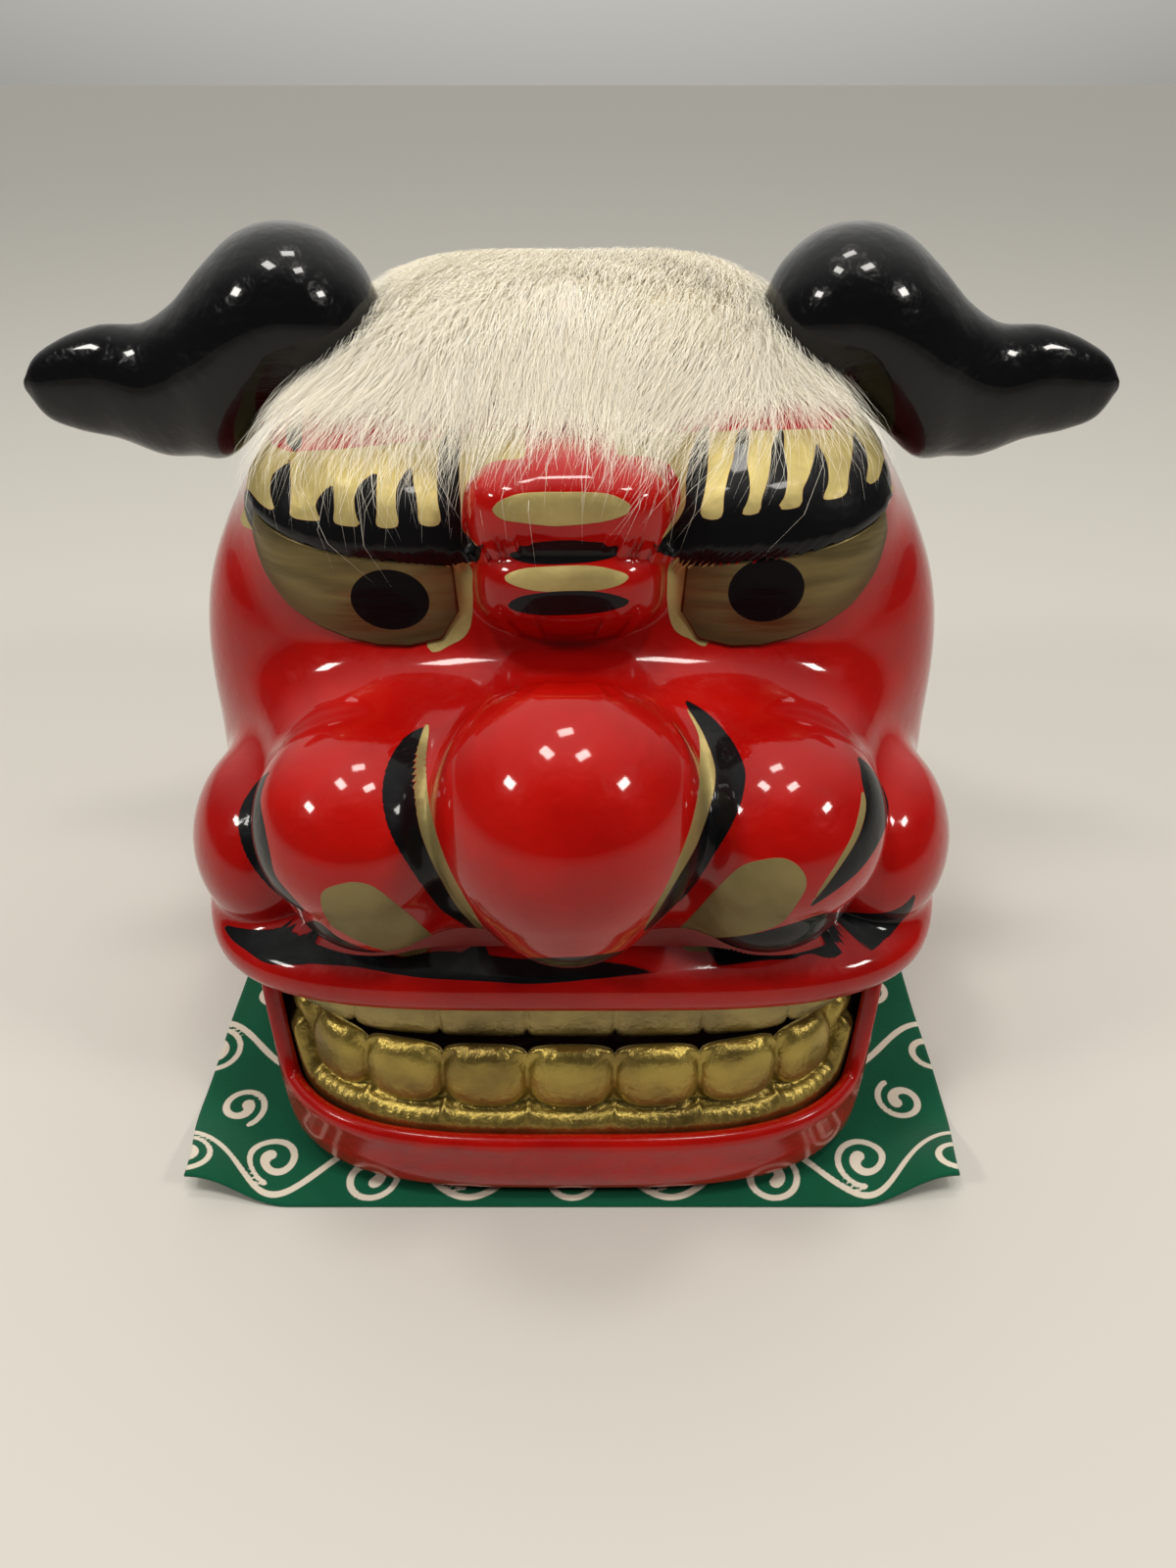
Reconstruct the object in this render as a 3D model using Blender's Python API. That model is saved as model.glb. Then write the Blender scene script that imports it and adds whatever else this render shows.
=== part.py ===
"""Lion dance head: a hollow lacquered papier-mache head that swings open on its jaw.

Metres, +Z up, the face looks along -Y, and X = 0 is the plane of symmetry. The object stands on Z = 0.
"""

import math

import bmesh
import bpy
import numpy as np

MM = 0.001

# Driving sizes of the upper head
HEAD_WIDTH = 276 * MM
HEAD_LENGTH = 265 * MM
HEAD_HEIGHT = 197.5 * MM
LIP_EDGE = 86.5 * MM
NOSE_REACH = 135 * MM
SHELL_WALL = 4.5 * MM
LID_STEP = 3.5 * MM

# Jaw, which lies inside the head's width and behind its nose
JAW_IN_HEAD = 36 * MM
JAW_BEHIND_NOSE = 14 * MM
JAW_SHORT_OF_RIM = 26 * MM
JAW_BEND = 101 * MM
JAW_WALL = 6 * MM
JAW_FLOOR = 5 * MM
LIP_HEIGHT = 35 * MM
CHEEK_TOP = 76 * MM
CORNER_BACK = 29 * MM
CORNER_RISE = 18 * MM

# Hinge of the jaw
HINGE_FROM_RIM = 38 * MM
HINGE_Z = 97 * MM
ROD_DIAMETER = 8 * MM
ROD_PLAY = 0.5 * MM
HINGE_CHEEK = 13 * MM

# Teeth
TOOTH_PITCH = 31 * MM
TOOTH_TOP = 68 * MM
TOOTH_DEPTH = 12 * MM
GUM_HEIGHT = 6 * MM
LOWER_TEETH = 11
UPPER_TEETH = 9
UPPER_TOOTH_DROP = 16 * MM
UPPER_TOOTH_RISE = 8 * MM
UPPER_TOOTH_DEPTH = 6 * MM
TOOTH_RELIEF = 1 * MM

# Eyes, ears and fur
EYE_WALL = 4 * MM
EYE_PROUD = 0.8 * MM
SEAT_DEGREES = 1.0
EAR_REACH = 132 * MM
EAR_HEIGHT = 80 * MM
EAR_DEPTH = 60 * MM
EAR_ROOT_X = 68 * MM
EAR_BASE_Z = 227 * MM
EAR_Y = 47 * MM
FUR_DEPTH = 7 * MM
FUR_EDGE = 1.5 * MM
FUR_LOCKS = 22
LOCK_LENGTH = 14 * MM

# Cloth
CLOTH_WIDTH = 300 * MM
CLOTH_LENGTH = 257 * MM
CLOTH_THICKNESS = 1 * MM
CLOTH_PROUD = 1 * MM
CORNER_LIFT = 10 * MM
CORNER_LENGTH = 45 * MM

# The least clearance, the deeper ones that rounded facets need, and how far cutters run past
GAP = 0.3 * MM
FACET_GAP = 0.45 * MM
SKIN_GAP = 0.75 * MM
ROOM_GAP = 0.6 * MM
CUT_PAST = 4 * MM
HOLLOW_DROP = 30 * MM

NOSE_TIP = -NOSE_REACH
REAR_RIM = NOSE_TIP + HEAD_LENGTH
JAW_WIDTH = HEAD_WIDTH - JAW_IN_HEAD
JAW_FRONT = NOSE_TIP + JAW_BEHIND_NOSE
JAW_BACK = REAR_RIM - JAW_SHORT_OF_RIM
CORNER_FROM = JAW_FRONT + CORNER_BACK
HINGE_Y = REAR_RIM - HINGE_FROM_RIM
CLOTH_FRONT = JAW_FRONT - CLOTH_PROUD

HEAD_COLUMNS = 52
HEAD_ROWS = 25

# The lobes of the upper head, as shares: x and rx of HEAD_WIDTH, y and ry of HEAD_LENGTH from the nose
# tip backwards, z and rz of HEAD_HEIGHT above the lip's edge, blend of HEAD_WIDTH. The powers square off
# the plan and the profile: 2 is an ellipse. A lobe with an x stands on both sides.
LOBES = (
    # name, x, y, z, rx, ry, rz, plan power, side power, blend
    ("skull", 0, 0.781, 0.322, 0.430, 0.358, 0.678, 2.8, 3.0, 0),
    ("temples", 0, 0.698, 0.271, 0.505, 0.345, 0.582, 4.0, 3.0, 0.09),
    ("sides", 0, 0.698, 0.119, 0.467, 0.423, 0.304, 3.5, 3.0, 0.06),
    ("muzzle", 0, 0.472, 0.256, 0.406, 0.321, 0.253, 3.0, 3.0, 0.08),
    ("lip", 0, 0.491, 0.028, 0.493, 0.385, 0.106, 4.0, 2.5, 0.03),
    ("brow", 0.232, 0.555, 0.661, 0.178, 0.196, 0.223, 2.4, 2.2, 0.03),
    ("cheek", 0.388, 0.347, 0.154, 0.110, 0.151, 0.182, 2.0, 2.0, 0.03),
    ("nostril foot", 0.235, 0.225, 0.190, 0.109, 0.128, 0.111, 2.0, 2.0, 0.03),
    ("nostril", 0.246, 0.219, 0.306, 0.130, 0.143, 0.177, 2.0, 2.0, 0.025),
    ("nose root", 0, 0.170, 0.261, 0.109, 0.143, 0.142, 2.0, 2.0, 0.02),
    ("nose", 0, 0.162, 0.372, 0.156, 0.162, 0.228, 2.0, 2.0, 0.02),
    ("bridge foot", 0, 0.394, 0.646, 0.112, 0.096, 0.086, 3.0, 3.0, 0.02),
    ("bridge pad", 0, 0.411, 0.767, 0.111, 0.098, 0.086, 3.0, 3.0, 0.015),
)

# The middle of the hollow, which sees the whole skin, and the middle of each brow, in the same shares
HEAD_MIDDLE = (0, 0.566, 0.322)
BROW_MIDDLE = (0.232, 0.509, 0.575)
CROWN_MIDDLE = (0, 0.755, 0.549)

# The eye's outline seen from the middle of its brow: turn outwards, lower edge and lid edge, in degrees
EYE_OUTLINE = (
    # turn, lower, lid
    (-36, 4, 24),
    (-28, -7, 26),
    (-14, -11, 29),
    (0, -12, 31),
    (14, -10, 32),
    (28, -5, 33),
    (42, 4, 34),
    (54, 16, 35),
    (62, 28, 37),
)
LID_HEIGHT_DEGREES = 40

# An ear's sections from root to tip: x from the root as a share of EAR_REACH, middle and half height as
# shares of EAR_HEIGHT, half depth as a share of EAR_DEPTH
EAR_SECTIONS = (
    # x, z, half height, half depth
    (0.00, 0.58, 0.12, 0.16),
    (0.05, 0.60, 0.25, 0.34),
    (0.13, 0.63, 0.33, 0.46),
    (0.23, 0.64, 0.36, 0.50),
    (0.36, 0.54, 0.41, 0.49),
    (0.46, 0.41, 0.41, 0.42),
    (0.55, 0.34, 0.34, 0.33),
    (0.63, 0.30, 0.30, 0.27),
    (0.77, 0.33, 0.25, 0.19),
    (0.88, 0.32, 0.20, 0.14),
    (0.96, 0.31, 0.13, 0.09),
    (1.00, 0.32, 0.03, 0.03),
)

# The jaw's outer side: height as a share of the lip's height there, and how far it draws in, as a share
# of JAW_WALL
JAW_PROFILE = (
    # height, inset
    (0.00, 1.6),
    (0.10, 0.7),
    (0.30, 0.1),
    (0.55, 0.0),
    (0.80, 0.15),
    (1.00, 0.7),
)


def smooth_step(low, high, value):
    share = np.clip((value - low) / (high - low), 0, 1)
    return share * share * (3 - 2 * share)


def smooth_min(a, b, blend):
    """The smaller of two distances, rounded where they meet over the blend's width."""
    if blend == 0:
        return np.minimum(a, b)
    share = np.clip(0.5 + 0.5 * (b - a) / blend, 0, 1)
    return b * (1 - share) + a * share - blend * share * (1 - share)


def head_place(x, y, z):
    """A place on the upper head from its shares of the head's width, length and height."""
    return np.array([x * HEAD_WIDTH, NOSE_TIP + y * HEAD_LENGTH, LIP_EDGE + z * HEAD_HEIGHT])


def lobe_distance(points, lobe):
    """Distance outwards from one lobe, measured along the line from its middle."""
    _, x, y, z, rx, ry, rz, plan_power, side_power, _ = lobe
    offset = points - head_place(x, y, z)
    scaled = np.abs(offset) / np.array([rx * HEAD_WIDTH, ry * HEAD_LENGTH, rz * HEAD_HEIGHT])
    plan = (scaled[:, 0] ** plan_power + scaled[:, 1] ** plan_power) ** (1 / plan_power)
    level = (plan**side_power + scaled[:, 2] ** side_power) ** (1 / side_power)
    return np.linalg.norm(offset, axis=1) * (1 - 1 / np.maximum(level, 1e-6))


def brow_angles(points):
    """Turn outwards and rise, in degrees, seen from the middle of the brow on that side."""
    offset = points - head_place(*BROW_MIDDLE)
    turn = np.degrees(np.arctan2(offset[:, 0], -offset[:, 1]))
    rise = np.degrees(np.arctan2(offset[:, 2], np.hypot(offset[:, 0], offset[:, 1])))
    return turn, rise


def lid_step(points):
    """How far the lid stands out: full just above the eye, fading up the brow and at the eye's corners."""
    turn, rise = brow_angles(points)
    turns, _, lids = zip(*EYE_OUTLINE)
    above = rise - np.interp(turn, turns, lids)
    ends = smooth_step(turns[0] - 14, turns[0], turn) * (1 - smooth_step(turns[-1], turns[-1] + 14, turn))
    band = smooth_step(-2, 1, above) * (1 - smooth_step(0.3 * LID_HEIGHT_DEGREES, LID_HEIGHT_DEGREES, above))
    return LID_STEP * band * ends


def skin_distance(points):
    """Distance outwards from the upper head's skin: all its lobes run together, with the lids on top."""
    points = points * np.sign(points[:, :1] + 1e-12) ** [1, 0, 0]
    distance = lobe_distance(points, LOBES[0])
    for lobe in LOBES[1:]:
        distance = smooth_min(distance, lobe_distance(points, lobe), lobe[-1] * HEAD_WIDTH)
    return distance - lid_step(points)


def skin_points(origins, directions, level=0.0):
    """Where rays from inside the head first reach the given distance outside its skin."""
    step = 0.02 * HEAD_WIDTH
    origins = np.broadcast_to(origins, directions.shape)
    near = np.zeros(len(directions))
    inside = np.ones(len(directions), bool)
    for _ in range(52):
        ahead = skin_distance(origins + (near + step)[:, None] * directions)
        inside &= ahead < level
        near = np.where(inside, near + step, near)
    far = near + step
    for _ in range(16):
        middle = (near + far) / 2
        within = skin_distance(origins + middle[:, None] * directions) < level
        near = np.where(within, middle, near)
        far = np.where(within, far, middle)
    return origins + ((near + far) / 2)[:, None] * directions


def directions_from(azimuth, elevation):
    """Unit vectors: azimuth 0 is the front, -Y, and turns towards +X."""
    flat = np.cos(elevation)
    return np.stack([flat * np.sin(azimuth), -flat * np.cos(azimuth), np.sin(elevation)], axis=-1)


def ring_azimuths(count):
    """Azimuths all round, closer together at the face than at the back."""
    share = np.linspace(-1, 1, count, endpoint=False)
    return math.pi * share * (0.62 + 0.38 * share**2)


def head_rows(columns, rows, level, edge):
    """The skin at a level outside itself, in rows from the edge height up to just under the crown.

    Every level is read along the same rays, so that its facets lie parallel to those of the skin."""
    middle = head_place(*HEAD_MIDDLE)
    azimuth = ring_azimuths(columns)
    low = np.full(columns, math.radians(-60))
    high = np.zeros(columns)
    for _ in range(18):
        elevation = (low + high) / 2
        above = skin_points(middle, directions_from(azimuth, elevation))[:, 2] > edge
        high = np.where(above, elevation, high)
        low = np.where(above, low, elevation)
    rise = np.linspace(0, 1, rows, endpoint=False)[:, None] ** 1.2
    elevation = high + rise * (math.pi / 2 - high)
    directions = directions_from(np.broadcast_to(azimuth, elevation.shape), elevation)
    points = skin_points(middle, directions.reshape(-1, 3), level).reshape(rows, columns, 3)
    points[0, :, 2] = edge
    crown = skin_points(middle, np.array([[0.0, 0.0, 1.0]]), level)[0]
    return points, crown


def mesh_object(name, vertices, faces):
    """A closed solid from its faces, turned so that they point outwards."""
    mesh = bpy.data.meshes.new(name)
    mesh.from_pydata([tuple(map(float, v)) for v in vertices], [], faces)
    shape = bmesh.new()
    shape.from_mesh(mesh)
    if shape.calc_volume(signed=True) < 0:
        bmesh.ops.reverse_faces(shape, faces=shape.faces)
    shape.to_mesh(mesh)
    shape.free()
    return bpy.data.objects.new(name, mesh)


def ring_faces(rows, columns, closed=True):
    """Quads between neighbouring rows of a grid numbered row by row, whose rows may close on themselves."""
    last = columns if closed else columns - 1
    return [
        (
            row * columns + column,
            row * columns + (column + 1) % columns,
            (row + 1) * columns + (column + 1) % columns,
            (row + 1) * columns + column,
        )
        for row in range(rows - 1)
        for column in range(last)
    ]


def closed_stack(name, rows, bottom=None, top=None):
    """A closed solid from rows of points, with a middle point or one flat face at each end."""
    count, columns, _ = rows.shape
    vertices = list(rows.reshape(-1, 3))
    faces = ring_faces(count, columns)
    first = list(range(columns))
    last = [(count - 1) * columns + column for column in range(columns)]
    for ring, point, turned in ((first, bottom, True), (last, top, False)):
        if turned:
            ring = ring[::-1]
        if point is None:
            faces.append(tuple(ring))
            continue
        faces += [(ring[i], ring[(i + 1) % columns], len(vertices)) for i in range(columns)]
        vertices.append(point)
    return mesh_object(name, vertices, faces)


def head_solid(name, level, drop=0.0):
    """The upper head filled in, down to the lip's edge and, if asked, straight on by the drop."""
    points, crown = head_rows(HEAD_COLUMNS, HEAD_ROWS, level, LIP_EDGE)
    if drop:
        below = points[:1].copy()
        below[:, :, 2] = LIP_EDGE - drop
        points = np.concatenate([below, points])
    foot = head_place(*HEAD_MIDDLE)
    foot[2] = LIP_EDGE - drop
    return closed_stack(name, points, foot, crown)


def box_object(name, low, high):
    mesh = bpy.data.meshes.new(name)
    shape = bmesh.new()
    bmesh.ops.create_cube(shape, size=1)
    for vertex in shape.verts:
        vertex.co = [(a + b) / 2 + (b - a) * c for a, b, c in zip(low, high, vertex.co)]
    shape.to_mesh(mesh)
    shape.free()
    return bpy.data.objects.new(name, mesh)


def rod_object(name, radius, length, y, z, sides=24):
    """A cylinder along X through the given height and depth."""
    mesh = bpy.data.meshes.new(name)
    shape = bmesh.new()
    bmesh.ops.create_cone(shape, cap_ends=True, segments=sides, radius1=radius, radius2=radius, depth=length)
    for vertex in shape.verts:
        a, b, c = vertex.co
        vertex.co = (c, a, b)
    shape.to_mesh(mesh)
    shape.free()
    obj = bpy.data.objects.new(name, mesh)
    obj.location = (0, y, z)
    return obj


def mirrored_copy(obj, name):
    """The same solid on the other side of X = 0."""
    mesh = obj.data.copy()
    mesh.name = name
    shape = bmesh.new()
    shape.from_mesh(mesh)
    for vertex in shape.verts:
        vertex.co.x = -vertex.co.x
    bmesh.ops.reverse_faces(shape, faces=shape.faces)
    shape.to_mesh(mesh)
    shape.free()
    return bpy.data.objects.new(name, mesh)


def front_path(half_width, front, bend, back, count):
    """A U in plan, open behind: straight sides, and a squared-off elliptic front as deep as the bend.

    It gives points from the left rear round the front to the right rear, evenly spaced, and the
    outward directions there."""
    turn = np.linspace(-math.pi / 2, math.pi / 2, 401)
    power = 2 / 3.4
    x = half_width * np.sign(turn) * np.abs(np.sin(turn)) ** power
    y = front + bend - bend * np.cos(turn).clip(0) ** power
    if back > front + bend:
        x = np.concatenate([[-half_width], x, [half_width]])
        y = np.concatenate([[back], y, [back]])
    length = np.concatenate([[0], np.cumsum(np.hypot(np.diff(x), np.diff(y)))])
    even = np.linspace(0, length[-1], count)
    points = np.stack([np.interp(even, length, x), np.interp(even, length, y)], axis=1)
    along = np.gradient(points, axis=0)
    outward = np.stack([along[:, 1], -along[:, 0]], axis=1)
    outward /= np.linalg.norm(outward, axis=1)[:, None]
    return points, outward, even - length[-1] / 2


def path_loft(name, points, outward, offsets, heights):
    """A closed solid with one loop of (offset, height) for each point of a path, and flat ends."""
    plan = points[:, None, :] + offsets[:, :, None] * outward[:, None, :]
    loops = np.concatenate([plan, heights[:, :, None]], axis=2)
    return closed_stack(name, loops)


def jaw_top(y):
    """Height of the jaw's wall: the lip in front, the mouth's corners, and the hinge cheeks behind."""
    corner = smooth_step(CORNER_FROM, CORNER_FROM + CORNER_RISE, y)
    hinge = smooth_step(HINGE_Y - 3 * HINGE_CHEEK, HINGE_Y - HINGE_CHEEK, y)
    rear = HINGE_Z + HINGE_CHEEK - CHEEK_TOP
    return LIP_HEIGHT + corner * (CHEEK_TOP - LIP_HEIGHT) + hinge * rear


def make_jaw():
    points, outward, _ = front_path(JAW_WIDTH / 2, JAW_FRONT, JAW_BEND, JAW_BACK, 53)
    foot = CLOTH_THICKNESS + GAP
    top = jaw_top(points[:, 1])
    rows = []
    for height, inset in JAW_PROFILE:
        plan = points - inset * JAW_WALL * outward
        z = foot + height * (top - foot)
        rows.append(np.concatenate([plan, z[:, None]], axis=1))
    jaw = closed_stack("lower_jaw", np.array(rows))
    inside = points[:, None, :] - JAW_WALL * outward[:, None, :]
    inside = inside[:, 0]
    inside[[0, -1], 1] += JAW_WALL
    low = np.column_stack([inside, np.full(len(inside), foot + JAW_FLOOR)])
    high = np.column_stack([inside, np.full(len(inside), 2 * HINGE_Z)])
    hollow = closed_stack("jaw_hollow", np.array([low, high]))
    bore = rod_object("rod_bore", ROD_DIAMETER / 2 + ROD_PLAY, 2 * JAW_WIDTH, HINGE_Y, HINGE_Z)
    return jaw, [hollow, bore]


def tooth_bulge(along, count, pitch):
    """1 on the middle of each tooth and 0 between two, and 0 beyond the last one."""
    wave = np.abs(np.cos(math.pi * along / pitch)) ** 0.5
    return np.where(np.abs(along) < count * pitch / 2, wave, 0)


def make_lower_teeth():
    """Rounded blocks on a scalloped gum ridge, one loop of eight points for each place along the row."""
    inset = JAW_WALL + ROOM_GAP
    plan, _, along = front_path(
        JAW_WIDTH / 2 - inset, JAW_FRONT + inset, JAW_BEND - inset, JAW_FRONT + JAW_BEND, 801
    )
    half = min(LOWER_TEETH * TOOTH_PITCH / 2, along[-1])
    places = np.linspace(-half, half, LOWER_TEETH * 5 + 1)
    points = np.stack([np.interp(places, along, plan[:, i]) for i in (0, 1)], axis=1)
    step = np.gradient(points, axis=0)
    outward = np.stack([step[:, 1], -step[:, 0]], axis=1) / np.linalg.norm(step, axis=1)[:, None]
    bulge = tooth_bulge(places, LOWER_TEETH, TOOTH_PITCH)
    gum = jaw_top(points[:, 1]).clip(None, TOOTH_TOP - 2.5 * GUM_HEIGHT) + GUM_HEIGHT * (1.2 - bulge * 0.5)
    foot = np.full_like(bulge, CLOTH_THICKNESS + GAP + JAW_FLOOR + GAP)
    zero = np.zeros_like(bulge)
    face = -TOOTH_DEPTH * (0.42 - 0.22 * bulge)
    crown = gum + (TOOTH_TOP - gum) * (0.86 + 0.14 * bulge)
    offsets = [zero, zero, zero - 0.12 * TOOTH_DEPTH, face - 0.12 * TOOTH_DEPTH, face, face - 0.25 * TOOTH_DEPTH]
    offsets += [zero - TOOTH_DEPTH, zero - TOOTH_DEPTH]
    heights = [foot, gum - GUM_HEIGHT * 0.6, gum, gum, (gum + crown) / 2, crown, crown, foot]
    return path_loft("lower_teeth", points, outward, np.stack(offsets, 1), np.stack(heights, 1))


def make_upper_teeth():
    """A gilt strip in low relief, which fills out to the inside of the upper lip."""
    lip = next(lobe for lobe in LOBES if lobe[0] == "lip")
    half_width = lip[4] * HEAD_WIDTH
    front = NOSE_TIP + (lip[2] - lip[5]) * HEAD_LENGTH
    inset = SHELL_WALL + GAP
    plan, _, along = front_path(half_width - inset, front + inset, lip[5] * HEAD_LENGTH - inset, front, 801)
    half = min(UPPER_TEETH * TOOTH_PITCH / 2, along[-1])
    places = np.linspace(-half, half, UPPER_TEETH * 6 + 1)
    points = np.stack([np.interp(places, along, plan[:, i]) for i in (0, 1)], axis=1)
    step = np.gradient(points, axis=0)
    outward = np.stack([step[:, 1], -step[:, 0]], axis=1) / np.linalg.norm(step, axis=1)[:, None]
    bulge = tooth_bulge(places, UPPER_TEETH, TOOTH_PITCH)
    zero = np.zeros_like(bulge)
    drop = UPPER_TOOTH_DROP * (1 - 0.62 * smooth_step(0.45, 0.85, np.abs(places) / half))
    low = LIP_EDGE - drop * (0.88 + 0.12 * bulge)
    high = zero + LIP_EDGE + UPPER_TOOTH_RISE
    face = zero - TOOTH_RELIEF * (1 - bulge)
    offsets = [face - TOOTH_RELIEF, face, zero, zero - UPPER_TOOTH_DEPTH, zero - UPPER_TOOTH_DEPTH]
    heights = [low, low + 0.3 * drop, high, high, low]
    return path_loft("upper_teeth", points, outward, np.stack(offsets, 1), np.stack(heights, 1))


def eye_grid(columns, rows, level, grow=0.0):
    """Points of the left-hand eye, +X side, on the skin at a level, over an outline grown by some degrees."""
    turns, lowers, lids = (np.array(column, float) for column in zip(*EYE_OUTLINE))
    turn = np.linspace(turns[0] - grow, turns[-1] + grow, columns)
    low = np.interp(turn, turns, lowers) - grow
    high = np.interp(turn, turns, lids) + grow
    rise = low + np.linspace(0, 1, rows)[:, None] * (high - low)
    directions = directions_from(np.radians(np.broadcast_to(turn, rise.shape)), np.radians(rise))
    return skin_points(head_place(*BROW_MIDDLE), directions.reshape(-1, 3), level).reshape(rows, columns, 3)


def shell_between(name, outer, inner):
    """A closed solid between two grids of the same rows and columns."""
    rows, columns, _ = outer.shape
    count = rows * columns
    vertices = list(outer.reshape(-1, 3)) + list(inner.reshape(-1, 3))
    faces = ring_faces(rows, columns, closed=False)
    faces += [tuple(count + index for index in face[::-1]) for face in faces]
    border = [*range(columns), *range(2 * columns - 1, count, columns)]
    border += [*range(count - 2, count - columns - 1, -1), *range(count - 2 * columns, 0, -columns)]
    for here, there in zip(border, border[1:] + border[:1]):
        faces.append((there, here, here + count, there + count))
    return mesh_object(name, vertices, faces)


def make_eye(name):
    """A gilt shell set into the wall under the lid."""
    return shell_between(name, eye_grid(15, 7, EYE_PROUD), eye_grid(15, 7, -EYE_WALL))


def make_eye_seat(name):
    """The opening right through the wall that an eye sits in, which runs past it both ways."""
    outer = eye_grid(15, 7, EYE_PROUD, SEAT_DEGREES)
    inner = eye_grid(15, 7, -SHELL_WALL, SEAT_DEGREES)
    way_out = outer - head_place(*BROW_MIDDLE)
    way_out *= CUT_PAST / np.linalg.norm(way_out, axis=2)[:, :, None]
    return shell_between(name, outer + way_out, inner - way_out)


def make_ear(name, grow=0.0):
    """The ear on the +X side, or the room that it takes: a fat round root and a drooping rounded tip."""
    sides = 18
    turn = np.linspace(0, 2 * math.pi, sides, endpoint=False)
    rows = []
    for x, z, half_height, half_depth in EAR_SECTIONS:
        ring = np.empty((sides, 3))
        ring[:, 0] = EAR_ROOT_X + x * EAR_REACH + grow * math.copysign(1, x - 0.5)
        ring[:, 1] = EAR_Y + (half_depth * EAR_DEPTH + grow) * np.cos(turn)
        ring[:, 2] = EAR_BASE_Z + z * EAR_HEIGHT + (half_height * EAR_HEIGHT + grow) * np.sin(turn)
        rows.append(ring)
    return closed_stack(name, np.array(rows))


def make_fur():
    """The fur on its backing: thick over the crown, thin at its border, with locks over the forehead."""
    columns = 2 * FUR_LOCKS
    azimuth = np.linspace(-math.pi, math.pi, columns, endpoint=False)
    forward = smooth_step(math.radians(115), math.radians(60), np.abs(azimuth))
    brow_side = smooth_step(math.radians(110), math.radians(45), np.abs(azimuth))
    bridge_side = smooth_step(math.radians(45), 0, np.abs(azimuth))
    edge = np.radians(37 + 19 * brow_side - 5 * bridge_side)
    lock = (np.arange(columns) % 2 == 0) * forward
    edge += lock * LOCK_LENGTH / (0.4 * HEAD_WIDTH)
    shares = np.array([0.16, 0.34, 0.52, 0.68, 0.82, 0.93, 1.0])
    polar = shares[:, None] * edge
    directions = directions_from(np.broadcast_to(azimuth, polar.shape), math.pi / 2 - polar)
    middle = head_place(*CROWN_MIDDLE)
    depth = FUR_EDGE + FUR_DEPTH * (1 - shares**3)
    level = np.repeat(depth, columns)
    outer = skin_points(middle, directions.reshape(-1, 3), level).reshape(len(shares), columns, 3)
    inner = skin_points(middle, directions.reshape(-1, 3), -FUR_EDGE).reshape(len(shares), columns, 3)
    up = np.array([[0.0, 0.0, 1.0]])
    rows = np.concatenate([inner, outer[::-1]])
    bottom = skin_points(middle, up, -FUR_EDGE)[0]
    top = skin_points(middle, up, FUR_EDGE + FUR_DEPTH)[0]
    return closed_stack("fur_patch", rows, bottom, top)


def make_cloth():
    """A flat sheet of cloth with its two front corners turned up."""
    columns, rows = 13, 9
    x = np.linspace(-CLOTH_WIDTH / 2, CLOTH_WIDTH / 2, columns)
    y = np.linspace(CLOTH_FRONT, CLOTH_FRONT + CLOTH_LENGTH, rows)
    grid_x, grid_y = np.meshgrid(x, y)
    to_corner = np.hypot(CLOTH_WIDTH / 2 - np.abs(grid_x), grid_y - CLOTH_FRONT)
    lift = CORNER_LIFT * (1 - smooth_step(0, CORNER_LENGTH, to_corner))
    drawn_in = np.stack([-np.sign(grid_x) * lift, lift, 0 * lift], axis=2)
    low = np.stack([grid_x, grid_y, lift], axis=2) + 0.6 * drawn_in
    high = low + [0, 0, CLOTH_THICKNESS]
    return shell_between("cape_cloth", high, low)


def boolean(obj, other, operation="DIFFERENCE"):
    modifier = obj.modifiers.new(other.name, "BOOLEAN")
    modifier.operation = operation
    modifier.object = other
    modifier.solver = "EXACT"


def material(name, colour, roughness, metallic=0.0):
    """A plain finish: colour, roughness and metallic value."""
    made = bpy.data.materials.new(name)
    made.use_nodes = True
    shader = made.node_tree.nodes["Principled BSDF"]
    shader.inputs["Base Color"].default_value = (*colour, 1)
    shader.inputs["Roughness"].default_value = roughness
    shader.inputs["Metallic"].default_value = metallic
    made.diffuse_color = (*colour, 1)
    return made


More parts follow.
